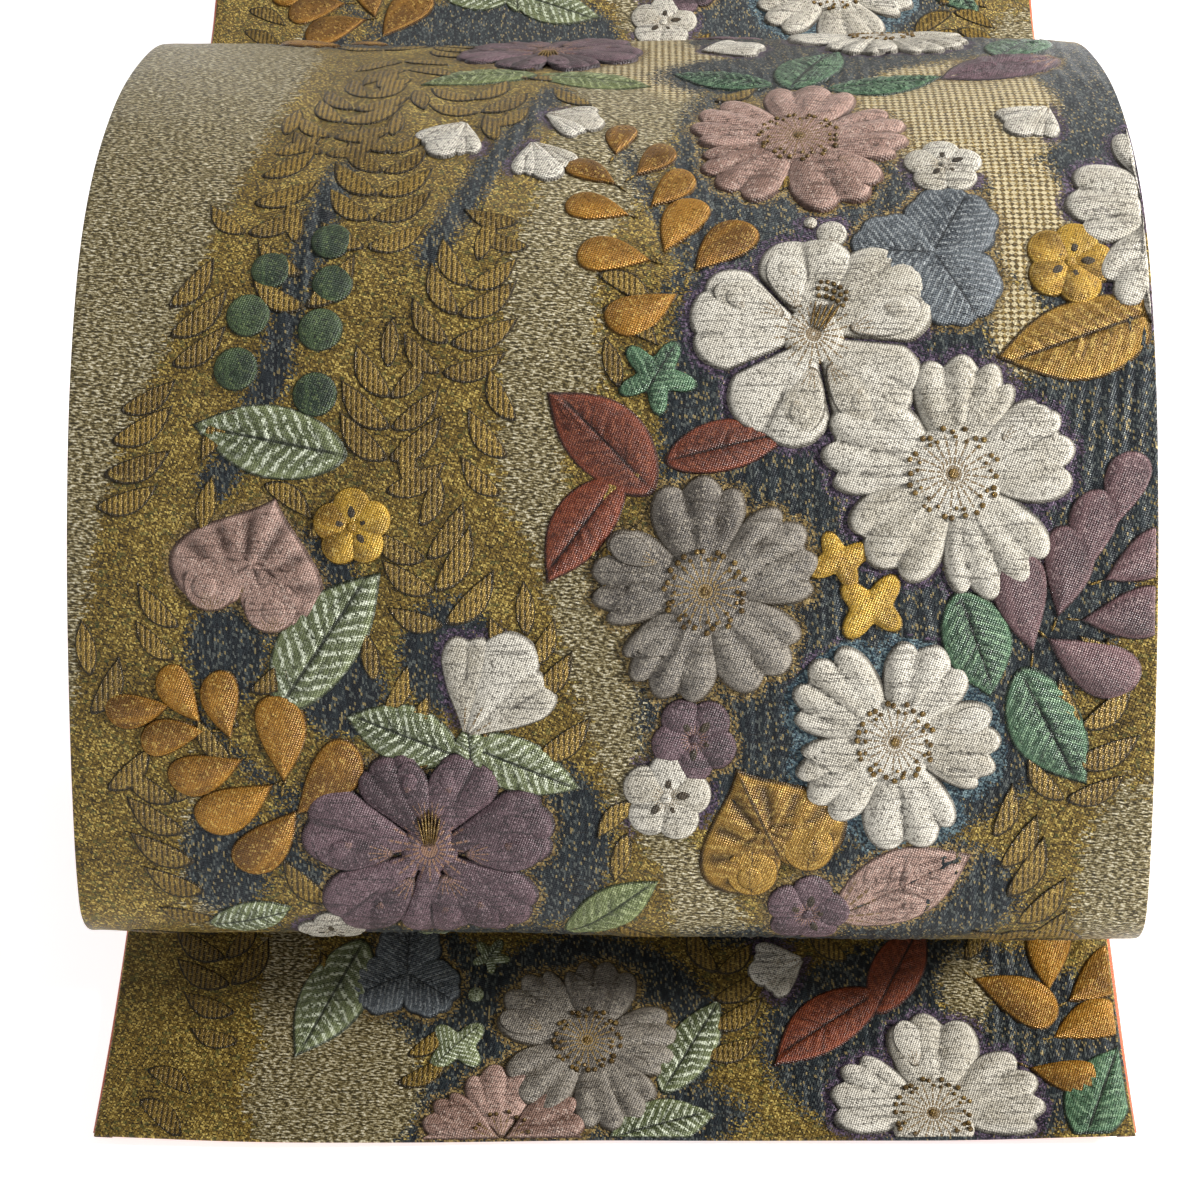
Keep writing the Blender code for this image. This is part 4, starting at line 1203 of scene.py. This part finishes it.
def drum_zones(u, s):
    """Signed reach, in mm, of the pale, lattice and navy grounds."""
    s = np.where((s > 500) | (s < -20), np.mod(s, REPEAT), s)
    mid = np.array(PALE_MIDDLE, float)
    c = np.interp(s, mid[:, 0], mid[:, 1])
    w = np.interp(s, mid[:, 0], mid[:, 2])
    pale = w - np.abs(u - c)
    left = np.array(PALE_LEFT, float)
    pale = np.maximum(pale, np.interp(s, left[:, 0], left[:, 1]) - u)
    side = spots(u, s, PALE_SPOTS)
    pale = np.maximum(pale, side)
    lattice = np.maximum(spots(u, s, PALE_SPOTS[:3]) + 4, (s - 300) * 0.15 - np.abs(u - 20) * 0.1 - 4)
    navy = np.maximum(spots(u, s, NAVY_SPOTS), strokes(u, s, STEMS))
    navy = np.minimum(navy, np.maximum(-spots(u, s, PALE_SPOTS[:3]), -40) * 1.0 + 1.0)
    return pale, lattice, navy


def tail_zones(u, s):
    pale = spots(u, s, TAIL_PALE)
    return pale, pale * 0 - 10, np.minimum(spots(u, s, TAIL_NAVY), -pale + 1)


def tree_of(strip, names):
    """The figures' edge places on a stretch, for finding the nearest."""
    pts = [o for (st, g), group in outline_points.items() if st == strip.name and g in names for o in group]
    if not pts:
        return None
    pts = np.concatenate(pts)
    tree = kdtree.KDTree(len(pts))
    for i, p in enumerate(pts):
        tree.insert((p[0], p[1], 0.0), i)
    tree.balance()
    return tree


lay_chart(tail, TAIL_CHART, 0, -3, 150)
lay_chart(inner, DRUM_CHART, -(REPEAT - inner.length), inner.length - 95, inner.length - 20)
lay_chart(drum, DRUM_CHART, 0, 26, 476)
lay_chart(drum, DRUM_CHART, -REPEAT, 8, 25)
lay_chart(band, DRUM_CHART, -BAND_SHIFT, 4, 352)
lay_chart(band, DRUM_CHART, REPEAT - BAND_SHIFT, 340, 352)
lay_fronds(tail, tail_zones, 6, 86)
lay_fronds(drum, drum_zones, 28, 480)
lay_fronds(band, drum_zones, 6, 345)

# ---- meshes ------------------------------------------------------------------
pieces = []


def new_object(name, co, faces, materials, uv=None, attrs=(), slots=None, normals=None):
    """A smooth mesh object from arrays. uv and attrs give values at vertices."""
    mesh = bpy.data.meshes.new(name)
    if isinstance(faces, np.ndarray):
        sizes = np.full(len(faces), faces.shape[1], np.int32)
        flat = faces.astype(np.int32).ravel()
    else:
        sizes = np.array([len(f) for f in faces], np.int32)
        flat = np.fromiter((i for f in faces for i in f), np.int32, int(sizes.sum()))
    mesh.vertices.add(len(co))
    mesh.vertices.foreach_set("co", np.asarray(co, np.float32).ravel())
    mesh.loops.add(len(flat))
    mesh.loops.foreach_set("vertex_index", flat)
    mesh.polygons.add(len(sizes))
    mesh.polygons.foreach_set("loop_start", np.concatenate([[0], np.cumsum(sizes)[:-1]]).astype(np.int32))
    mesh.update(calc_edges=True)
    for layer, values in (uv or {}).items():
        lay = mesh.uv_layers.new(name=layer)
        lay.data.foreach_set("uv", np.asarray(values, np.float32)[flat].ravel())
    for key, values in attrs:
        at = mesh.attributes.new(key, "FLOAT", "POINT")
        at.data.foreach_set("value", np.ascontiguousarray(values, np.float32))
    for m in materials if isinstance(materials, (list, tuple)) else [materials]:
        mesh.materials.append(m)
    if slots is not None:
        mesh.polygons.foreach_set("material_index", np.array(slots, np.int32))
    mesh.polygons.foreach_set("use_smooth", np.ones(len(sizes), bool))
    if normals is not None:
        mesh.normals_split_custom_set_from_vertices(normals.tolist())
    obj = bpy.data.objects.new(name, mesh)
    bpy.context.scene.collection.objects.link(obj)
    pieces.append(obj)
    return obj


def nearest(tree, u, s, far=30.0):
    if tree is None:
        return np.full(len(u), far)
    return np.array([min(tree.find((a, b, 0.0))[2], far) for a, b in zip(u, s)])


def smooth_noise(u, s, scale_u, scale_s, seed):
    """Sums of a few sines: a soft, never repeating wander from -1 to 1."""
    gen = np.random.default_rng(seed)
    out = np.zeros(np.shape(u))
    for _ in range(7):
        ang = gen.uniform(0, TAU)
        f = gen.uniform(0.6, 1.5)
        out = out + np.sin(u / scale_u * f * math.cos(ang) + s / scale_s * f * math.sin(ang) + gen.uniform(0, TAU))
    return out / 3.0


def brocade(strip, name, start, end, step_s, step_u, zones, tip=False):
    """The figured cloth of one stretch, turned in at both selvedges."""
    r = 0.55
    edge = [(HALF - r + r * math.sin(a), -r + r * math.cos(a)) for a in (PI / 4, PI / 2, 3 * PI / 4, PI)]
    edge += [(HALF - 2.2, -1.12), (HALF - 5.5, -1.16)]
    inside = np.linspace(-HALF + r, HALF - r, round((SASH_WIDTH - 2 * r) / step_u) + 1)
    cols_u = np.concatenate([[-a for a, _ in edge[::-1]], inside, [a for a, _ in edge]])
    cols_h = np.concatenate([[h for _, h in edge[::-1]], inside * 0, [h for _, h in edge]])
    count = max(2, round((end - start) / step_s))
    step = (end - start) / count
    # one row more at each end, so that the shading runs on into the next piece
    rows_s = start + step * np.arange(-1, count + 2)
    rows_h = rows_s * 0
    first = 1
    if tip:
        rows_s = rows_s[1:]
        lead = (PI / 4, PI / 2, 3 * PI / 4, PI)
        rows_s = np.concatenate([[8.0, 5.0, 2.4], [r - r * math.sin(a) for a in lead[::-1]], rows_s])
        rows_h = np.concatenate([[-1.18, -1.16, -1.12], [-r + r * math.cos(a) for a in lead[::-1]], rows_h[1:]])
    U, S = np.meshgrid(cols_u, rows_s)
    H = np.minimum(*np.meshgrid(cols_h, rows_h))
    u, s, h = U.ravel(), S.ravel(), H.ravel()
    chart_s = s + strip.chart_shift
    pale, lattice, navy = zones(u, chart_s)
    ivory = nearest(tree_of(strip, ("ivory",)), u, s)
    other = nearest(tree_of(strip, ("pink", "lavender", "mauve", "blue")), u, s)
    rest = nearest(tree_of(strip, ("gold", "yellow", "goldleaf", "green", "palegreen", "moss", "berry", "rust", "mauvelight")), u, s)
    near = np.minimum(np.minimum(ivory, other), rest)
    # relief: upright crinkles in the navy, dimples round the figures, a soft cockle
    top = np.clip(1 + h / 0.2, 0, 1)
    wander = smooth_noise(u, chart_s, 11, 17, 5)
    crinkle = np.cos(TAU * (u + 2.6 * wander) / 4.7) * (0.6 + 0.4 * smooth_noise(u, chart_s, 8, 14, 6))
    in_navy = np.clip((navy + 3) / 5, 0, 1)
    cockle = smooth_noise(u, chart_s, 3.4, 3.0, 7) * 0.10 + smooth_noise(u, chart_s, 9, 8, 8) * 0.13
    relief = in_navy * 0.30 * crinkle + cockle - 0.30 * np.exp(-((near / 1.9) ** 2)) + 0.12
    if step_u > 2.5:
        relief = smooth_noise(u, chart_s, 9, 8, 8) * 0.2
    h = h + relief * top * np.clip((HALF - np.abs(u)) / 3, 0, 1)
    at = np.where(chart_s > 500, np.mod(chart_s, REPEAT), chart_s)
    blue_side = np.exp(-(((u - 79) / 34) ** 2) - (((at - 106) / 34) ** 2))
    blue_side = blue_side * (strip.name != "tail")
    halo_b = np.where(blue_side > 0.36, 3.0 - ivory, -6)
    halo_p = np.where((blue_side <= 0.36) & (navy > -4), 2.2 - ivory, -6)
    halo_g = 1.7 - other
    co = strip.space(u, s, h)
    nc, nr = len(cols_u), len(rows_s)
    grid = co.reshape(nr, nc, 3)
    du = np.gradient(grid, axis=1)
    ds = np.gradient(grid, axis=0)
    normal = np.cross(du, ds)
    normal /= np.maximum(np.linalg.norm(normal, axis=2, keepdims=True), 1e-12)
    kept = slice(1, nr - 1)
    pick = lambda v: np.ascontiguousarray(v.reshape(nr, nc, -1)[kept]).reshape(-1, v.reshape(nr, nc, -1).shape[2])
    rows = nr - 2
    idx = np.arange(nc * rows).reshape(rows, nc)
    quads = np.stack([idx[:-1, :-1], idx[:-1, 1:], idx[1:, 1:], idx[1:, :-1]], axis=-1).reshape(-1, 4)
    bake = np.stack([g.ravel() for g in np.meshgrid(np.linspace(0.002, 0.998, nc), np.linspace(0.002, 0.998, rows))], axis=1)
    fields = (("pale", pale), ("lattice", lattice), ("navy", navy), ("halo_p", halo_p), ("halo_b", halo_b), ("halo_g", halo_g))
    return new_object(
        name, pick(co), quads, M["ground"],
        {"chart": pick(np.stack([u, chart_s], 1)), "OFBake": bake},
        [(key, pick(v)[:, 0]) for key, v in fields],
        normals=pick(normal),
    )


def lining(strip, name, start, end, step_s=4.5, tip=False, across=30, show=1.0):
    """The plain cloth behind: a thin closed wall that peeps out at the edges."""
    rows = np.linspace(start, end, max(2, round((end - start) / step_s) + 1))
    top_h, low_h = -1.28, -2.22
    mid = (top_h + low_h) / 2
    r = (top_h - low_h) / 2
    inside = np.linspace(-HALF + 1.0, HALF - 1.0, across)
    ring_u = np.concatenate([inside, [HALF - 0.1, HALF + 0.38, HALF - 0.1], inside[::-1], [-HALF + 0.1, -HALF - 0.38, -HALF + 0.1]])
    ring_h = np.concatenate([inside * 0 + top_h, [top_h - 0.12, mid, low_h + 0.12], inside * 0 + low_h, [low_h + 0.12, mid, top_h - 0.12]])
    U, S = np.meshgrid(ring_u, rows)
    H = np.meshgrid(ring_h, rows)[0]
    peep = show * (0.30 + 0.30 * smooth_noise(U * 0.01, S + (U > 0) * 77, 9, 15, 31)) - 0.55 * (1 - show)
    U = U + np.sign(U) * np.clip((np.abs(U) - HALF + 1.2) / 1.2, 0, 1) * peep
    H = H + 0.05 * smooth_noise(U, S, 14, 12, 12) * (H > mid)
    S2 = S.copy()
    if tip:
        S2[0] = rows[0] + 0.0 * U[0]
    co = strip.space(U.ravel(), S2.ravel(), H.ravel())
    n, m_rows = len(ring_u), len(rows)
    idx = np.arange(n * m_rows).reshape(m_rows, n)
    faces = []
    for a, b in zip(idx, idx[1:]):
        for i in range(n):
            j = (i + 1) % n
            faces.append((int(a[i]), int(a[j]), int(b[j]), int(b[i])))
    half = across
    for row, flip in ((idx[0], True), (idx[-1], False)):
        loop = [int(i) for i in row]
        lid = [(loop[i], loop[i + 1], loop[n - 5 - i], loop[n - 4 - i]) for i in range(half - 1)]
        lid.append(tuple(loop[half - 1 : half + 4]))
        lid.append(tuple([loop[n - 4], loop[n - 3], loop[n - 2], loop[n - 1], loop[0]]))
        faces += [f[::-1] if flip else f for f in lid]
    wrap = np.where(np.meshgrid(ring_h, rows)[0] > mid, U, 2 * HALF + 6 - U)
    return new_object(name, co, faces, M["lining"], {"chart": np.stack([wrap.ravel(), S.ravel() + strip.chart_shift], 1)})


def sewn_edge(strip, name, start, end):
    """The running stitches that close the two cloths along both selvedges."""
    verts, faces, uv = [], [], []
    s = start + 4
    k = 0
    while s < end - 4:
        for sgn in (-1, 1):
            a, b = s, s + 2.4
            u0 = sgn * (HALF - 1.15)
            for i, t in enumerate(np.linspace(0, 1, 5)):
                hh = -2.24 - 0.20 * math.sin(PI * t)
                for q in range(5):
                    ang = TAU * q / 5
                    verts.append((u0 + 0.17 * math.cos(ang), a + (b - a) * t, hh + 0.17 * math.sin(ang)))
                    uv.append((u0 + q * 0.2, a + (b - a) * t))
            base = len(verts) - 25
            for i in range(4):
                for q in range(5):
                    p = base + i * 5
                    faces.append((p + q, p + (q + 1) % 5, p + 5 + (q + 1) % 5, p + 5 + q))
            faces.append(tuple(base + q for q in range(5))[::-1])
            faces.append(tuple(base + 20 + q for q in range(5)))
        s += 5.2 + 0.4 * math.sin(k * 1.7)
        k += 1
    v = np.array(verts)
    return new_object(name, strip.space(v[:, 0], v[:, 1], v[:, 2]), faces, M["thread"], {"chart": np.array(uv)})


brocade(tail, "tail_front_brocade", 0.55, 76.0, FINE, FINE, tail_zones, tip=True)
brocade(tail, "tail_under_brocade", 76.0, tail.length, 3.0, 3.0, tail_zones)
brocade(inner, "inner_return_brocade_cloth", 0.0, inner.length, 2.4, 4.0, drum_zones)
brocade(drum, "drum_low_brocade", 0.0, 244.0, FINE, FINE, drum_zones)
brocade(drum, "drum_high_brocade", 244.0, drum.length, FINE, FINE, drum_zones)
brocade(band, "top_band_brocade_cloth", 0.0, band.length, 1.9, 1.9, drum_zones)

linings = {
    "tail": lining(tail, "tail_lining_cloth", 1.6, tail.length, tip=True),
    "return": lining(inner, "inner_return_lining_cloth", 0.0, inner.length, 2.4),
    "drum": lining(drum, "drum_lining_cloth", 0.0, drum.length, show=0.15),
    "band": lining(band, "top_band_lining_cloth", 0.0, band.length, 3.0),
}
stitches = {
    "tail": sewn_edge(tail, "tail_stitches", 0, tail.length),
    "drum": sewn_edge(drum, "drum_stitches", 0, drum.length),
    "band": sewn_edge(band, "top_band_stitches", 0, band.length),
}

made = {}
for (strip_name, kind), f in figures.items():
    obj = new_object(
        f"{strip_name}_{kind}", np.concatenate(f.co), f.faces, [M[c] for c in f.colours],
        {"chart": np.concatenate(f.uv)},
        [(key, np.concatenate(v)) for key, v in f.values.items()],
        slots=f.slots,
    )
    made.setdefault(strip_name, []).append(obj)

# ---- the folded rest: the same cloth laid to and fro ---------------------------
RUNS = 8
NEAR_TURN, FAR_TURN = 27.0, 373.0
NEAR_TOP, FAR_TOP, LOWEST = 86.6, 78.2, 1.5


def rest_line():
    """The outer face's side profile, from the tucked end of the band down to
    the floor: eight runs, with rounded turns at the near and far ends."""
    far_next = 67.4
    mids = [(NEAR_TOP - (NEAR_TOP - LOWEST) * k / (RUNS - 1)) for k in range(RUNS)]
    fars = [FAR_TOP] + [far_next - (far_next - LOWEST) * k / (RUNS - 2) for k in range(RUNS - 1)]

    def height(k, y):
        t = min(max((y - 190) / 130, 0), 1)
        t = t * t * (3 - 2 * t)
        z = mids[k] + (fars[k] - mids[k]) * t
        inner_part = min(max((y - 36) / 60, 0), 1) * min(max((364 - y) / 60, 0), 1)
        wave = 2.7 * (1 if k % 2 else -1) * math.sin(y / 24.0 + 0.35 * k)
        wave += 0.8 * math.sin(y / 11.0 + 2.1 * k)
        if k == 0:
            wave, z = 0.4 * wave, z - 1.5 * math.sin(PI * min(max((y - 60) / 260, 0), 1))
        if k == RUNS - 1:
            wave = 0.0
        if k == RUNS - 2:
            wave *= 0.6
        return z + wave * inner_part

    pts = []
    for k in range(RUNS):
        a, b = (FAR_TURN, NEAR_TURN) if k % 2 == 0 else (NEAR_TURN, FAR_TURN)
        if k == 0:
            a = 346.5
        if k == RUNS - 1:
            b = 360.0
        for i in range(61):
            y = a + (b - a) * i / 60
            pts.append((y, height(k, y)))
        if k < RUNS - 1:
            z0, z1 = height(k, b), height(k + 1, b)
            out = -1 if b < a else 1
            reach = 6.2 + 0.9 * math.sin(2.9 * k)
            for i in range(1, 16):
                ang = PI * i / 16
                pts.append((b + out * reach * math.sin(ang), (z0 + z1) / 2 + (z0 - z1) / 2 * math.cos(ang)))
    pts = np.array(pts)
    way = np.gradient(pts, axis=0)
    way /= np.linalg.norm(way, axis=1, keepdims=True)
    return pts + 1.15 * np.stack([-way[:, 1], way[:, 0]], axis=1)


rest = Stretch("rest", None, BAND_SHIFT + band.length, rest_line())
half_way = rest.length / 2
brocade(rest, "folded_rest_upper_brocade", 0.0, half_way, 4.2, 6.0, drum_zones)
brocade(rest, "folded_rest_lower_brocade", half_way, rest.length - 0.2, 4.2, 6.0, drum_zones)
linings["rest"] = lining(rest, "folded_rest_lining_cloth", 0.0, rest.length - 0.2, 4.2, across=10)

# ---- what stands for which solid, and what moves it ------------------------------
for obj in pieces:
    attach(obj, "root")

NODE_OF = {"tail": "tail", "return": "inner_return", "drum": "drum", "band": "top_band"}
for key, node in NODE_OF.items():
    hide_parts(node + "_brocade")
    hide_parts(node + "_lining")
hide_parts("folded_rest")

# ---- floor, light and camera -------------------------------------------------------
floor_mesh = bpy.data.meshes.new("floor")
floor_mesh.from_pydata([(-4, -4, 0), (4, -4, 0), (4, 4, 0), (-4, 4, 0)], [], [(0, 1, 2, 3)])
floor = bpy.data.objects.new("floor", floor_mesh)
floor.location.z = min(0.0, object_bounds()[0][2]) - 0.0002
bpy.context.scene.collection.objects.link(floor)
paper = Nodes("floor_paper", 0.9)
cloud = paper.tree.nodes.new("ShaderNodeTexNoise")
cloud.inputs["Scale"].default_value = 3.0
paper.colour(paper.mix(paper.step(cloud.outputs[0], 0.2, 0.8), (0.86, 0.86, 0.855), (0.90, 0.90, 0.90)))
paper.shader.inputs["Emission Color"].default_value = (1, 1, 1, 1)
paper.shader.inputs["Emission Strength"].default_value = 0.70
floor_mesh.materials.append(paper.mat)


def area_light(name, place, target, size, power, colour=(1, 1, 1)):
    data = bpy.data.lights.new(name, "AREA")
    data.shape = "DISK"
    data.size = size
    data.energy = power
    data.color = colour
    obj = bpy.data.objects.new(name, data)
    obj.location = place
    obj.rotation_euler = (Vector(target) - Vector(place)).to_track_quat("-Z", "Y").to_euler()
    bpy.context.scene.collection.objects.link(obj)


area_light("key", (1.32, -0.34, 0.72), (0, -0.2, 0.08), 0.26, 35, (1.0, 0.985, 0.96))
area_light("back", (0.3, 1.0, 1.15), (0, -0.1, 0.1), 0.8, 11, (1.0, 0.99, 0.97))
area_light("fill", (-1.2, -0.9, 1.2), (0, -0.15, 0.1), 1.2, 4, (0.95, 0.97, 1.0))
world = bpy.data.worlds.new("studio")
world.use_nodes = True
world.node_tree.nodes["Background"].inputs[0].default_value = (1, 1, 1, 1)
world.node_tree.nodes["Background"].inputs[1].default_value = 0.30
bpy.context.scene.world = world
bpy.context.scene.view_settings.view_transform = "Standard"

camera_data = bpy.data.cameras.new("photo_view")
camera_data.sensor_width = 36.0
camera_data.lens = 68.68
camera_data.clip_start = 0.01
camera = bpy.data.objects.new("photo_view", camera_data)
camera.location = (0.01308, -0.67693, 0.64037)
yaw, down, roll = math.radians(2.269), math.radians(51.96), math.radians(-1.813)
camera.rotation_euler = (Matrix.Rotation(yaw, 3, "Z") @ Matrix.Rotation(PI / 2 - down, 3, "X") @ Matrix.Rotation(roll, 3, "Z")).to_euler()
bpy.context.scene.collection.objects.link(camera)
bpy.context.scene.camera = camera

bpy.context.view_layer.update()
total = 0
for obj in pieces:
    obj.data.calc_loop_triangles()
    count = len(obj.data.loop_triangles)
    total += count
    print(f"{obj.name}: {count} triangles")
print(f"total {total} triangles")
